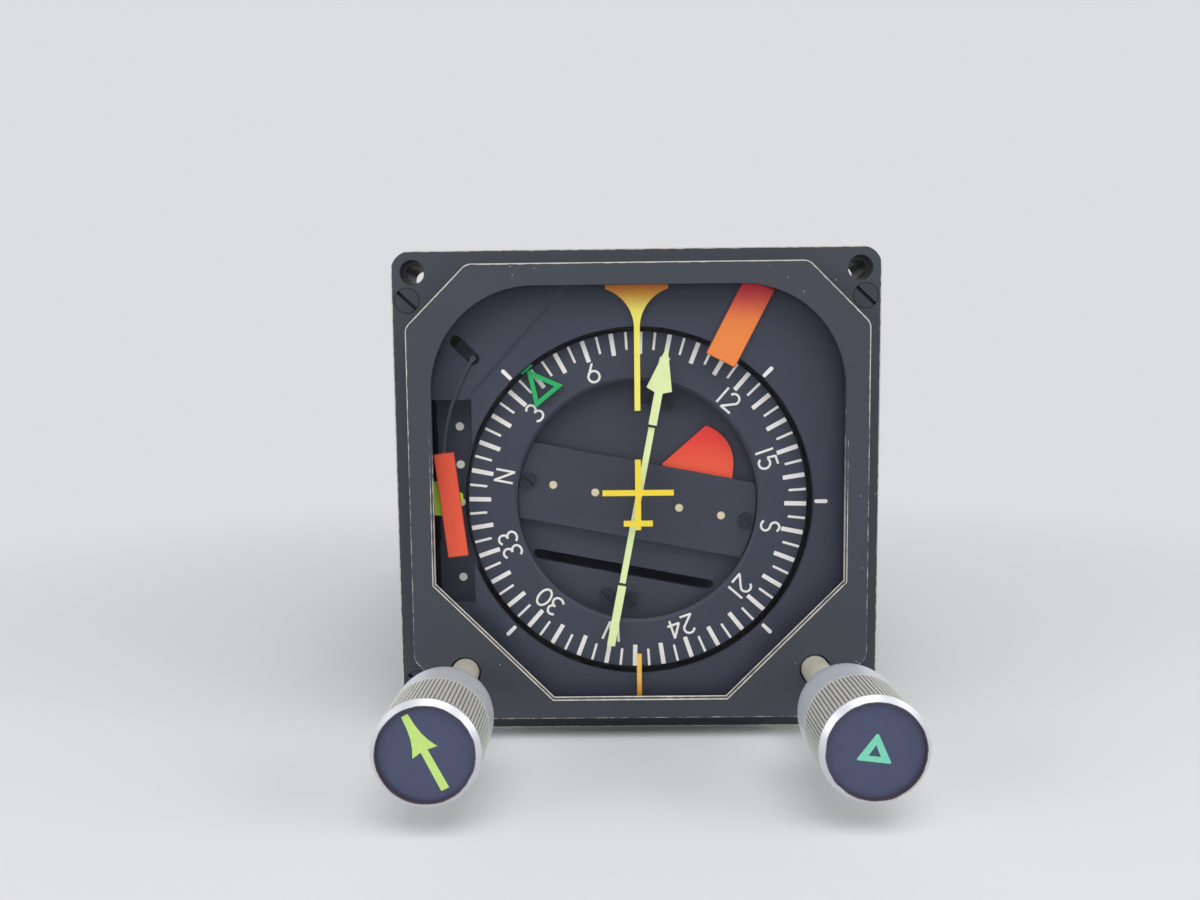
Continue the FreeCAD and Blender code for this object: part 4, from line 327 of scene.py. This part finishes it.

# Bezel screws and mounting inserts: steel, the screws painted over with the bezel and the inserts
# a darker, dull steel. Both are turned parts, so fine rings run round them.


def turned_metal(name, colour, roughness, ring_gap, metal=1.0):
    """Metal from the lathe or the mill: faint close lines and uneven polish.

    The real lines are finer than the picture can show, and are drawn coarser.
    """
    patch_size = 3 * mm
    material, tree, shader, where = new_material(name)
    patch = add_node(tree, "ShaderNodeTexNoise", Vector=where, Scale=1 / patch_size, Detail=4.0)
    tone = add_node(tree, "ShaderNodeMapRange", Value=patch.outputs["Fac"], To_Min=0.8, To_Max=1.15)
    colours = add_node(tree, "ShaderNodeMix", {"data_type": "RGBA", "blend_type": "MULTIPLY"},
                       _0=1.0, _6=linear(colour), _7=tone.outputs["Result"])
    tree.links.new(colours.outputs[2], shader.inputs["Base Color"])
    shader.inputs["Metallic"].default_value = metal
    polish = add_node(tree, "ShaderNodeMapRange", Value=patch.outputs["Fac"],
                      To_Min=roughness * 0.8, To_Max=roughness * 1.3)
    tree.links.new(polish.outputs["Result"], shader.inputs["Roughness"])
    lines = add_node(tree, "ShaderNodeTexWave", {"bands_direction": "Y"}, Vector=where,
                     Scale=1 / (ring_gap * 2 * math.pi), Distortion=1.5, Detail=2.0)
    bump = add_node(tree, "ShaderNodeBump", Strength=0.12, Distance=0.02 * mm,
                    Height=lines.outputs["Fac"])
    tree.links.new(bump.outputs["Normal"], shader.inputs["Normal"])
    return material


give(enamel("painted_screw_enamel", "3A3E45", grain=0.3 * mm, dust=0.6)[0], "bezel_screws")
give(turned_metal("dark_insert_steel", "5C5A56", roughness=0.5, ring_gap=0.12 * mm), "mount_inserts")

# Front glass: a flat pane with a faint blue coating, clamped against a rubber gasket by steel clips.
# Most light passes straight through, and its front face mirrors a little of the room by angle.
# The rubber is moulded and matt, and the clips are blackened.


def mottled(name, dark_colour, pale_colour, spot_size, roughness, detail=3.0):
    """A matt surface that drifts between two close colours, in spots of a given size."""
    material, tree, shader, where = new_material(name)
    spots = add_node(tree, "ShaderNodeTexNoise", Vector=where, Scale=1 / spot_size, Detail=detail)
    tone = add_node(tree, "ShaderNodeValToRGB", Fac=spots.outputs["Fac"])
    tone.color_ramp.elements[0].color = linear(dark_colour)
    tone.color_ramp.elements[1].color = linear(pale_colour)
    tree.links.new(tone.outputs["Color"], shader.inputs["Base Color"])
    shader.inputs["Roughness"].default_value = roughness
    return material, tree, shader, where


coated_glass, tree, shader = new_material("coated_float_glass")[:3]
tree.nodes.remove(shader)
clear = add_node(tree, "ShaderNodeBsdfTransparent", Color=linear("FCFCFE"))
mirror = add_node(tree, "ShaderNodeBsdfGlossy", Color=linear("DDE4FF"), Roughness=0.02)
share = add_node(tree, "ShaderNodeFresnel", IOR=1.45)
back = tree.nodes.new("ShaderNodeNewGeometry").outputs["Backfacing"]
front_only = add_node(tree, "ShaderNodeMapRange", Value=back, To_Min=0.35, To_Max=0.0)
coated_share = add_node(tree, "ShaderNodeMath", {"operation": "MULTIPLY"},
                        _0=share.outputs["Fac"], _1=front_only.outputs["Result"])
pane = add_node(tree, "ShaderNodeMixShader", _0=coated_share.outputs[0],
                _1=clear.outputs["BSDF"], _2=mirror.outputs["BSDF"])
tree.links.new(pane.outputs["Shader"], tree.nodes["Material Output"].inputs["Surface"])
give(coated_glass, "front_glass")
rubber = mottled("nitrile_rubber", "17181A", "26282B", spot_size=0.4 * mm, roughness=0.75)[0]
give(rubber, "glass_gasket")
give(turned_metal("black_anodised_clip_steel", "2B2C2F", roughness=0.45, ring_gap=0.15 * mm),
     "glass_clamps")

# Dial plates: thin aluminium sheet sprayed with flat instrument paint, a dark neutral grey.
# The glideslope scale sits deeper, the mask has a slanted crease at its upper left, and all carry lint.
crease_direction = Vector((-0.7399, 0, 0.6727))
crease_offset = 33.38 * mm
crease_half = 0.5 * mm
crease_depth = 0.45 * mm


def flat_paint(name, colour, dust):
    """Instrument paint: the enamel with almost no relief."""
    return enamel(name, colour, grain=0.3 * mm, dust=dust, relief=0.01)[0]


give(flat_paint("flat_instrument_paint", "40444E", dust=0.45), "compass_card")
mask_paint = flat_paint("flat_mask_paint", "3E424C", dust=0.6)
tree = mask_paint.node_tree
measured = add_node(tree, "ShaderNodeVectorMath", {"operation": "DOT_PRODUCT"},
                    _0=tree.nodes.new("ShaderNodeTexCoord").outputs["Object"], _1=crease_direction)
fold = add_node(tree, "ShaderNodeMapRange", {"interpolation_type": "SMOOTHSTEP"},
                Value=measured.outputs["Value"],
                From_Min=crease_offset - crease_half, From_Max=crease_offset + crease_half)
mask_shader = tree.nodes["Principled BSDF"]
grain_normal = mask_shader.inputs["Normal"].links[0].from_socket
crease = add_node(tree, "ShaderNodeBump", Strength=0.9, Distance=crease_depth,
                  Height=fold.outputs["Result"], Normal=grain_normal)
tree.links.new(crease.outputs["Normal"], mask_shader.inputs["Normal"])
give(mask_paint, "dial_mask")
give(flat_paint("flat_rotor_paint", "3F424A", dust=0.35), "rotor_plate", "rotor_drum")
give(flat_paint("deep_black_paint", "3C3F48", dust=0.3), "glideslope_scale")

# Dial markings: cream screen ink on the card, the mask, the glideslope scale and the rotor plate.
# Each is a raised film a few hundredths of a millimetre thick, with soft round corners.
# The rotor's dots have yellowed more than the rest.
dial_middle_z = -1.5 * mm
ink_height = 0.04 * mm
top_bearing = 78.68
cream_ink = mottled("cream_screen_ink", "F6F2E2", "FFFDF2", spot_size=0.6 * mm, roughness=0.7)[0]


def turn_at(x, z, angle):
    """Takes a drawing at the origin to a place, turned clockwise as seen from the front."""
    return Matrix.Translation((x, 0, z)) @ Matrix.Rotation(math.radians(angle), 4, "Y")


def ink_bar(mesh, width, start, end, corner, turn, front):
    """A stroke with rounded corners along Z, from one radius to another, on a face at y = front."""
    made = bmesh.ops.create_circle(mesh, cap_ends=True, segments=12, radius=corner)
    for vertex in made["verts"]:
        vertex.co.x += math.copysign(width / 2 - corner, vertex.co.x)
        vertex.co.y += math.copysign((end - start) / 2 - corner, vertex.co.y)
    face = made["verts"][0].link_faces[0]
    raised = bmesh.ops.extrude_face_region(mesh, geom=[face])["geom"]
    lifted = [item for item in raised if isinstance(item, bmesh.types.BMVert)]
    bmesh.ops.translate(mesh, verts=lifted, vec=(0, 0, ink_height))
    upright = Matrix.Translation((0, front, (start + end) / 2)) @ Matrix.Rotation(math.pi / 2, 4, "X")
    bmesh.ops.transform(mesh, matrix=turn @ upright, verts=made["verts"] + lifted)


def finish_piece(name, mesh, material, body):
    """Turns a bmesh into a piece that rides on a body."""
    bmesh.ops.recalc_face_normals(mesh, faces=mesh.faces)
    data = bpy.data.meshes.new(name)
    mesh.to_mesh(data)
    mesh.free()
    data.materials.append(material)
    piece = bpy.data.objects.new(name, data)
    bpy.context.collection.objects.link(piece)
    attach(piece, body)


# The card's ticks, one for every five degrees and a longer one for every ten.
card_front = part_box("compass_card")[0].y
tick_end = 30.0 * mm
tick_corner = 0.12 * mm
long_width, long_start = 0.8 * mm, 26.1 * mm
short_width, short_start = 0.45 * mm, 26.9 * mm
card_mesh = bmesh.new()
for bearing in range(0, 360, 5):
    is_short = bearing % 10 != 0
    ink_bar(card_mesh, short_width if is_short else long_width, short_start if is_short else long_start,
            tick_end, tick_corner, turn_at(0, dial_middle_z, bearing - top_bearing), card_front)
finish_piece("card_ticks", card_mesh, cream_ink, "card")


def arc(middle, wide, high, start, end):
    """Points along part of an ellipse, by its angles in degrees."""
    steps = max(4, int(abs(end - start) / 15))
    turns = [math.radians(start + (end - start) * i / steps) for i in range(steps + 1)]
    return [(middle[0] + wide * math.cos(a), middle[1] + high * math.sin(a)) for a in turns]


# Each figure as its pen strokes, one unit high, drawn with a round pen and flattened to a film.
# A 1 is narrow, so the figure beside it stands closer.
figures = {
    "0": [arc((0, 0), 0.31, 0.5, 90, 450)],
    "1": [[(0, -0.5), (0, 0.5)]],
    "2": [arc((0, 0.22), 0.28, 0.28, 165, -30) + [(-0.3, -0.5)], [(-0.34, -0.5), (0.32, -0.5)]],
    "3": [arc((0, 0.25), 0.25, 0.25, 150, -90), arc((0, -0.24), 0.3, 0.26, 90, -150)],
    "4": [[(0.14, -0.5), (0.14, 0.53)], [(0.14, 0.5), (-0.32, -0.22)],
          [(-0.36, -0.22), (0.34, -0.22)]],
    "5": [[(0.25, 0.5), (-0.23, 0.5)], [(-0.2, 0.5), (-0.24, 0.04)],
          arc((0, -0.19), 0.29, 0.31, 130, -150)],
    "6": [[(0.12, 0.5), (-0.23, -0.03)], arc((0, -0.2), 0.3, 0.3, 145, -215)],
    "N": [[(-0.3, -0.5), (-0.3, 0.53)], [(-0.3, 0.5), (0.3, -0.5)], [(0.3, -0.53), (0.3, 0.5)]],
    "E": [[(0.26, 0.5), (-0.27, 0.5)], [(-0.24, 0.5), (-0.24, -0.5)], [(-0.27, -0.5), (0.26, -0.5)],
          [(-0.24, 0.02), (0.2, 0.02)]],
    "S": [arc((0, 0.25), 0.25, 0.25, 35, 270), arc((0, -0.25), 0.28, 0.25, 90, -145)],
    "W": [[(-0.45, 0.5), (-0.22, -0.53)], [(-0.22, -0.5), (0, 0.38)], [(0, 0.35), (0.22, -0.53)],
          [(0.22, -0.5), (0.45, 0.5)]],
}
bearings = {0: "N", 30: "3", 60: "6", 90: "E", 120: "12", 150: "15",
            180: "S", 210: "21", 240: "24", 270: "W", 300: "30", 330: "33"}
figure_height = 3.3 * mm
figure_radius = 24.1 * mm
pen_width = 0.42 * mm
narrow_step = 0.62
wide_step = 0.78
flatten = Matrix.Diagonal((1, 2 * ink_height / pen_width, 1, 1))
numbers_mesh = bmesh.new()
for bearing, text in bearings.items():
    drawn = bpy.data.curves.new("card_numbers", "CURVE")
    drawn.dimensions = "3D"
    drawn.bevel_depth = pen_width / 2
    drawn.bevel_resolution = 2
    drawn.use_fill_caps = True
    for place, figure in enumerate(text):
        middle = (place - (len(text) - 1) / 2) * (narrow_step if "1" in text else wide_step)
        for stroke in figures[figure]:
            line = drawn.splines.new("POLY")
            line.points.add(len(stroke) - 1)
            for point, (x, z) in zip(line.points, stroke):
                point.co = ((x + middle) * figure_height, 0, z * figure_height, 1)
    holder = bpy.data.objects.new("card_numbers", drawn)
    bpy.context.collection.objects.link(holder)
    solved = holder.evaluated_get(bpy.context.evaluated_depsgraph_get())
    film = bpy.data.meshes.new_from_object(solved)
    film.transform(turn_at(0, dial_middle_z, bearing - top_bearing)
                   @ Matrix.Translation((0, card_front, figure_radius)) @ flatten)
    numbers_mesh.from_mesh(film)
    bpy.data.objects.remove(holder)
    bpy.data.curves.remove(drawn)
    bpy.data.meshes.remove(film)
finish_piece("card_numbers", numbers_mesh, cream_ink, "card")

# The mask's marks outside the card, at every 45 degrees that shows.
mark_width = 0.7 * mm
mark_start = 30.9 * mm
mark_end = 33.2 * mm
mark_corner = 0.3 * mm
mask_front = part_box("dial_mask")[0].y
mask_mesh = bmesh.new()
for angle in (45, 90, 135, 225, 315):
    ink_bar(mask_mesh, mark_width, mark_start, mark_end, mark_corner,
            turn_at(0, dial_middle_z, angle), mask_front)
finish_piece("mask_marks", mask_mesh, cream_ink, "housing")


def ink_dots(name, spots, radius, front, turn, material, body):
    """Round dots, at places measured from the dial's middle."""
    mesh = bmesh.new()
    for x, z in spots:
        ink_bar(mesh, radius * 2, -radius, radius, radius,
                turn @ Matrix.Translation((x, 0, z)), front)
    finish_piece(name, mesh, material, body)


scale_x = -31.6 * mm
scale_step = 6.82 * mm
scale_dot = 0.75 * mm
scale_sheet = 0.8 * mm
ink_dots("glideslope_dots", [(scale_x, step * scale_step) for step in (-2, -1, 0, 1, 2)],
         scale_dot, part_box("glideslope_scale")[1].y - scale_sheet, turn_at(0, dial_middle_z, 0),
         cream_ink, "housing")
course_angle = 11.0
deviation_step = 7.68 * mm
deviation_dot = 0.72 * mm
warm_ink = mottled("aged_cream_ink", "DCCBA0", "F2E6BE", spot_size=0.5 * mm, roughness=0.7)[0]
ink_dots("deviation_dots", [(step * deviation_step, 0) for step in (-2, -1, 1, 2)],
         deviation_dot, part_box("rotor_plate")[0].y, turn_at(0, dial_middle_z, course_angle),
         warm_ink, "rotor")

# Painted pointers: thin sheet in bright fluorescent paints, flat and slightly chalky.
# The lubber line runs from orange at its top to yellow, as sprayed over a mask.
# The course arrow and the bar are lime in front only, and their feet are dark.
strip_thickness = 0.36 * mm
foot_blend = 0.02 * mm


def bright_paint(name, low_colour, high_colour=None, low_z=0, high_z=1):
    """A chalky fluorescent paint, one colour or a fade between two heights."""
    chalk_size = 0.9 * mm
    material, tree, shader, where = new_material(name)
    spot = add_node(tree, "ShaderNodeSeparateXYZ", Vector=where)
    fade = add_node(tree, "ShaderNodeMapRange", {"interpolation_type": "SMOOTHSTEP"},
                    Value=spot.outputs["Z"], From_Min=low_z, From_Max=high_z)
    chalk = add_node(tree, "ShaderNodeTexNoise", Vector=where, Scale=1 / chalk_size, Detail=4.0)
    tone = add_node(tree, "ShaderNodeMapRange", Value=chalk.outputs["Fac"], To_Min=0.93, To_Max=1.05)
    colours = add_node(tree, "ShaderNodeMix", {"data_type": "RGBA"}, _0=fade.outputs["Result"],
                       _6=linear(low_colour), _7=linear(high_colour or low_colour))
    chalky = add_node(tree, "ShaderNodeMix", {"data_type": "RGBA", "blend_type": "MULTIPLY"}, _0=1.0,
                      _6=colours.outputs[2], _7=tone.outputs["Result"])
    tree.links.new(chalky.outputs[2], shader.inputs["Base Color"])
    shader.inputs["Roughness"].default_value = 0.6
    bump = add_node(tree, "ShaderNodeBump", Strength=0.1, Distance=0.02 * mm,
                    Height=chalk.outputs["Fac"])
    tree.links.new(bump.outputs["Normal"], shader.inputs["Normal"])
    return material


def dark_beyond(material, axis, start, blend, colour):
    """Paints a material's far part another colour, past a height along one axis."""
    tree = material.node_tree
    socket = tree.nodes["Principled BSDF"].inputs["Base Color"]
    first = socket.links[0].from_socket
    where = tree.nodes.new("ShaderNodeTexCoord").outputs["Object"]
    spot = add_node(tree, "ShaderNodeSeparateXYZ", Vector=where)
    past = add_node(tree, "ShaderNodeMapRange", Value=spot.outputs[axis],
                    From_Min=start, From_Max=start + blend)
    colours = add_node(tree, "ShaderNodeMix", {"data_type": "RGBA"}, _0=past.outputs["Result"],
                       _6=first, _7=linear(colour))
    tree.links.new(colours.outputs[2], socket)
    return material


give(bright_paint("orange_to_yellow_paint", "FFF26A", "F08C28", low_z=31.0 * mm, high_z=36.5 * mm),
     "lubber_line")
give(bright_paint("amber_paint", "FFE23A"), "aircraft_symbol")
give(bright_paint("orange_paint", "FF9A28", "FFCC50", low_z=-38 * mm, high_z=-31 * mm),
     "bottom_index")
give(bright_paint("signal_green_paint", "1EB45F"), "heading_bug")
for paint_name, nodes in (("pale_lime_arrow_paint", ("course_arrow_head", "course_arrow_tail")),
                          ("pale_lime_bar_paint", ("deviation_bar",))):
    strip_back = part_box(nodes[0])[0].y + strip_thickness
    lime = bright_paint(paint_name, "EEFFB4")
    give(dark_beyond(lime, "Y", strip_back, foot_blend, "3A3D46"), *nodes)
give(bright_paint("lime_paint", "CDFF2D"), "glideslope_pointer")

# Warning flags: sheet vanes sprayed with red fluorescent paint, which is thin along their edges.
# The paint has aged towards crimson at the top, and the glideslope flag hangs on a thin dark wire.
heading_slope = 27.4
heading_half_long = 7.3 * mm
heading_half_wide = 2.78 * mm
heading_pivot = (21.1 * mm, 36.2 * mm)
glideslope_middle = (-32.78 * mm, -1.5 * mm)
glideslope_slope = 6.7
glideslope_half_long = 9.2 * mm
glideslope_half_wide = 1.8 * mm
wire_start = 7.9 * mm
wire_blend = 0.05 * mm


def edge_line(material, middle, angle, half_wide, half_long):
    """A darker line along the edges of a straight vane, where the paint is thin."""
    line_start = 0.16 * mm
    line_full = 0.06 * mm
    tree = material.node_tree
    socket = tree.nodes["Principled BSDF"].inputs["Base Color"]
    first = socket.links[0].from_socket
    where = tree.nodes.new("ShaderNodeTexCoord").outputs["Object"]
    moved = add_node(tree, "ShaderNodeVectorMath", {"operation": "SUBTRACT"}, _0=where,
                     _1=(middle[0], 0, middle[1]))
    turned = add_node(tree, "ShaderNodeVectorRotate", {"rotation_type": "Y_AXIS"},
                      Vector=moved.outputs[0], Angle=math.radians(angle))
    spot = add_node(tree, "ShaderNodeSeparateXYZ", Vector=turned.outputs[0])
    bands = []
    for axis, half in (("X", half_wide), ("Z", half_long)):
        off = add_node(tree, "ShaderNodeMath", {"operation": "ABSOLUTE"}, _0=spot.outputs[axis])
        band = add_node(tree, "ShaderNodeMapRange", Value=off.outputs[0],
                        From_Min=half - line_start, From_Max=half - line_full, To_Max=0.75)
        bands.append(band.outputs["Result"])
    line = add_node(tree, "ShaderNodeMath", {"operation": "MAXIMUM"}, _0=bands[0], _1=bands[1])
    lined = add_node(tree, "ShaderNodeMix", {"data_type": "RGBA"}, _0=line.outputs[0],
                     _6=first, _7=linear("96281E"))
    tree.links.new(lined.outputs[2], socket)
    return material


give(bright_paint("red_flag_paint", "FF5E38", "F23A2E", low_z=4 * mm, high_z=11 * mm), "nav_flag")
heading_middle = (heading_pivot[0] - heading_half_long * math.sin(math.radians(heading_slope)),
                  heading_pivot[1] - heading_half_long * math.cos(math.radians(heading_slope)))
heading_paint = bright_paint("heading_flag_paint", "FB8E3C", "F03E46", low_z=28.5 * mm,
                             high_z=36 * mm)
give(edge_line(heading_paint, heading_middle, -heading_slope, heading_half_wide, heading_half_long),
     "hdg_flag")
glideslope_paint = edge_line(bright_paint("glideslope_flag_paint", "FF5F38"), glideslope_middle,
                             glideslope_slope, glideslope_half_wide, glideslope_half_long)
give(dark_beyond(glideslope_paint, "Z", wire_start, wire_blend, "3A3A3E"), "gs_flag")

# Rotor screws: small slotted steel screws that hold the arrow's feet to the rotor plate.
# They are under the plate's flat paint, so that only their slots and rims show.
give(flat_paint("painted_screw_steel", "2A2C32", dust=0.1), "arrow_screws")

# Knobs: turned aluminium with a straight knurl, bead-blasted and clear anodised, on steel shafts.
# Their edges and the knurl's crests are polished by fingers, and the grooves are a darker grey-brown.
knob_x = 30.4 * mm
knob_z = -30.43 * mm
knob_radius = 7.62 * mm
groove_floor = 0.2 * mm
groove_top = 0.05 * mm
front_band = 1.0 * mm
knurl_length = 7.5 * mm
knurl_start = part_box("course_knob")[0].y + front_band
knurl_end = knurl_start + knurl_length
band_blend = 0.1 * mm
seat_radius = 6.85 * mm
seat_ragged = 0.15 * mm


def knob_metal(name, middle_x):
    """Aluminium: darker knurl grooves, painted bluish reflection on the shoulder, a bright front rim.
    """
    stain_size = 1.2 * mm
    material, tree, shader, where = new_material(name)
    spot = add_node(tree, "ShaderNodeSeparateXYZ", Vector=where)
    x = add_node(tree, "ShaderNodeMath", {"operation": "SUBTRACT"}, _0=spot.outputs["X"], _1=middle_x)
    z = add_node(tree, "ShaderNodeMath", {"operation": "SUBTRACT"}, _0=spot.outputs["Z"], _1=knob_z)
    flat = add_node(tree, "ShaderNodeCombineXYZ", _0=x.outputs[0], _1=z.outputs[0])
    reach = add_node(tree, "ShaderNodeVectorMath", {"operation": "LENGTH"}, _0=flat.outputs[0])
    depth = add_node(tree, "ShaderNodeMapRange", Value=reach.outputs["Value"],
                     From_Min=knob_radius - groove_floor, From_Max=knob_radius - groove_top)
    stain = add_node(tree, "ShaderNodeTexNoise", Vector=where, Scale=1 / stain_size, Detail=5.0)
    # The knurl's grooves are drawn a darker grey-brown than its crests.
    groove_grey = add_node(tree, "ShaderNodeMix", {"data_type": "RGBA"}, _0=stain.outputs["Fac"],
                    _6=linear("4C493F"), _7=linear("9A968A"))
    crest = add_node(tree, "ShaderNodeMix", {"data_type": "RGBA"}, _0=depth.outputs["Result"],
                     _6=groove_grey.outputs[2], _7=linear("E6E5E0"))
    # The shoulder behind the knurl is painted a bluish grey: a painted reflection.
    behind = add_node(tree, "ShaderNodeMapRange", Value=spot.outputs["Y"],
                      From_Min=knurl_end, From_Max=knurl_end + band_blend)
    shoulder_reflection = add_node(tree, "ShaderNodeMix", {"data_type": "RGBA"}, _0=behind.outputs["Result"],
                        _6=crest.outputs[2], _7=linear("D6DAE2"))
    ahead = add_node(tree, "ShaderNodeMapRange", Value=spot.outputs["Y"],
                     From_Min=knurl_start, From_Max=knurl_start - band_blend)
    rim = add_node(tree, "ShaderNodeMix", {"data_type": "RGBA"}, _0=ahead.outputs["Result"],
                   _6=shoulder_reflection.outputs[2], _7=linear("CDCED4"))
    # Round the insert's seat, the knob's front is drawn a dark purplish grey.
    ragged = add_node(tree, "ShaderNodeMapRange", Value=stain.outputs["Fac"],
                      To_Min=-seat_ragged, To_Max=seat_ragged)
    inside = add_node(tree, "ShaderNodeMath", {"operation": "ADD"}, _0=reach.outputs["Value"],
                      _1=ragged.outputs["Result"])
    seat = add_node(tree, "ShaderNodeMapRange", Value=inside.outputs[0],
                    From_Min=seat_radius + band_blend, From_Max=seat_radius)
    edge = add_node(tree, "ShaderNodeMath", {"operation": "MULTIPLY"},
                    _0=seat.outputs["Result"], _1=ahead.outputs["Result"])
    seat_darkening = add_node(tree, "ShaderNodeMix", {"data_type": "RGBA"}, _0=edge.outputs[0],
                     _6=rim.outputs[2], _7=linear("5A4A50"))
    tree.links.new(seat_darkening.outputs[2], shader.inputs["Base Color"])
    shader.inputs["Metallic"].default_value = 0.4
    polish = add_node(tree, "ShaderNodeMapRange", Value=stain.outputs["Fac"], To_Min=0.3, To_Max=0.5)
    tree.links.new(polish.outputs["Result"], shader.inputs["Roughness"])
    bump = add_node(tree, "ShaderNodeBump", Strength=0.12, Distance=0.03 * mm,
                    Height=stain.outputs["Fac"])
    tree.links.new(bump.outputs["Normal"], shader.inputs["Normal"])
    return material


give(knob_metal("knurled_aluminium_left", -knob_x), "course_knob")
give(knob_metal("knurled_aluminium_right", knob_x), "heading_knob")
give(turned_metal("stainless_shaft_steel", "DCD8C6", roughness=0.4, ring_gap=0.1 * mm, metal=0.3),
     "course_shaft", "heading_shaft")

# Knob inserts: discs of dark blue-grey vinyl in the knobs' fronts, with a lime arrow on the left
# and an open mint triangle on the right, both screen printed. The vinyl is satin and a little scuffed.
vinyl, tree, shader, where = mottled("blue_grey_vinyl", "3A405A", "464C6A", spot_size=1.5 * mm,
                                     roughness=0.5, detail=5.0)
vinyl_grain = 0.15 * mm
fine = add_node(tree, "ShaderNodeTexNoise", Vector=where, Scale=1 / vinyl_grain, Detail=2.0)
bump = add_node(tree, "ShaderNodeBump", Strength=0.1, Distance=0.02 * mm, Height=fine.outputs["Fac"])
tree.links.new(bump.outputs["Normal"], shader.inputs["Normal"])
give(vinyl, "course_knob_insert", "heading_knob_insert")
insert_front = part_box("course_knob_insert")[0].y
arrow_turn = -27.1
triangle_turn = 7.0


def ink_shape(name, outline, hole, turn, material, body):
    """A raised flat shape on an insert, from its outline and hole in millimetres of X and Z."""
    mesh = bmesh.new()
    rings = []
    for loop in (outline, hole):
        corners = [mesh.verts.new((x * mm, 0, z * mm)) for x, z in loop]
        rings += [mesh.edges.new((corners[i - 1], corners[i])) for i in range(len(corners))]
    bmesh.ops.triangle_fill(mesh, edges=rings, use_beauty=True)
    raised = bmesh.ops.extrude_face_region(mesh, geom=mesh.faces[:])["geom"]
    lifted = [item for item in raised if isinstance(item, bmesh.types.BMVert)]
    bmesh.ops.translate(mesh, verts=lifted, vec=(0, -ink_height, 0))
    bmesh.ops.transform(mesh, matrix=Matrix.Translation((0, insert_front, 0)) @ turn, verts=mesh.verts)
    finish_piece(name, mesh, material, body)


arrow_outline = [(-0.6, -5.6), (0.6, -5.6), (0.52, 0.42), (1.92, 0.2), (1.3, 1.4), (0.85, 2.7),
                 (0.6, 4.2), (0.49, 6.0), (-0.49, 6.0), (-0.6, 4.2), (-0.85, 2.7), (-1.3, 1.4),
                 (-1.92, 0.2), (-0.52, 0.42)]
ink_shape("course_knob_arrow", arrow_outline, [], turn_at(-knob_x, knob_z, arrow_turn),
          bright_paint("knob_lime_paint", "C3E37C"), "course_control")
triangle = [(-2.36, -1.5), (-2.2, -1.65), (2.2, -1.65), (2.36, -1.5), (0.15, 2.25), (-0.15, 2.25)]
triangle_hole = [(-0.85, -0.85), (0.85, -0.85), (0.0, 0.7)]
ink_shape("heading_knob_triangle", triangle, triangle_hole, turn_at(knob_x, knob_z, triangle_turn),
          bright_paint("knob_mint_paint", "78D2B4"), "heading_control")

# Inside: plates, posts and hubs of chromated aluminium, dull gold-grey from the chromate bath.
# Gears and bearings are cut brass, spindles, meters and motors ground steel, and what lies close
# behind the dial is blackened. The solenoid is wound with copper, and the brush block is phenolic.
give(turned_metal("chromated_aluminium", "B5AD93", roughness=0.4, ring_gap=0.25 * mm),
     "card_hub", "rotor_shaft", "front_plate", "gear_plate", "middle_plate", "frame_posts",
     "nav_flag_meter", "rear_connector")
give(turned_metal("blackened_meter_case", "1A1B1E", roughness=0.6, ring_gap=0.3 * mm, metal=0.2),
     "gs_flag_meter", "bug_ring", "shaft_bushings")
give(turned_metal("cut_gear_brass", "C7A45C", roughness=0.3, ring_gap=0.2 * mm),
     "card_bearing", "push_collar", "course_input_gear", "course_output_gear", "course_drive_gear",
     "heading_input_gear", "heading_output_gear", "heading_drive_gear", "servo_pinion")
give(turned_metal("ground_steel", "A3A4A6", roughness=0.3, ring_gap=0.1 * mm),
     "differential_spindles", "servo_motor", "course_resolver", "deviation_meter",
     "glideslope_meter", "push_spring", "cover_screws")
give(turned_metal("enamelled_copper", "B0713C", roughness=0.4, ring_gap=0.2 * mm), "hdg_flag_solenoid")
give(enamel("moulded_phenolic", "1E1F22", grain=0.2 * mm, dust=0.0)[0], "brush_block")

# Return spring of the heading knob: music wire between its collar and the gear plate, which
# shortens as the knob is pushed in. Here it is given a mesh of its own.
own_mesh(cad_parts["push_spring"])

# Case: aluminium sheet folded and welded, with a rear cover held by screws.
# Both are under a satin black enamel, with less dust on it than on the bezel.
give(enamel("satin_black_enamel", "35383D", grain=0.5 * mm, dust=0.4)[0], "case_shell", "rear_cover")
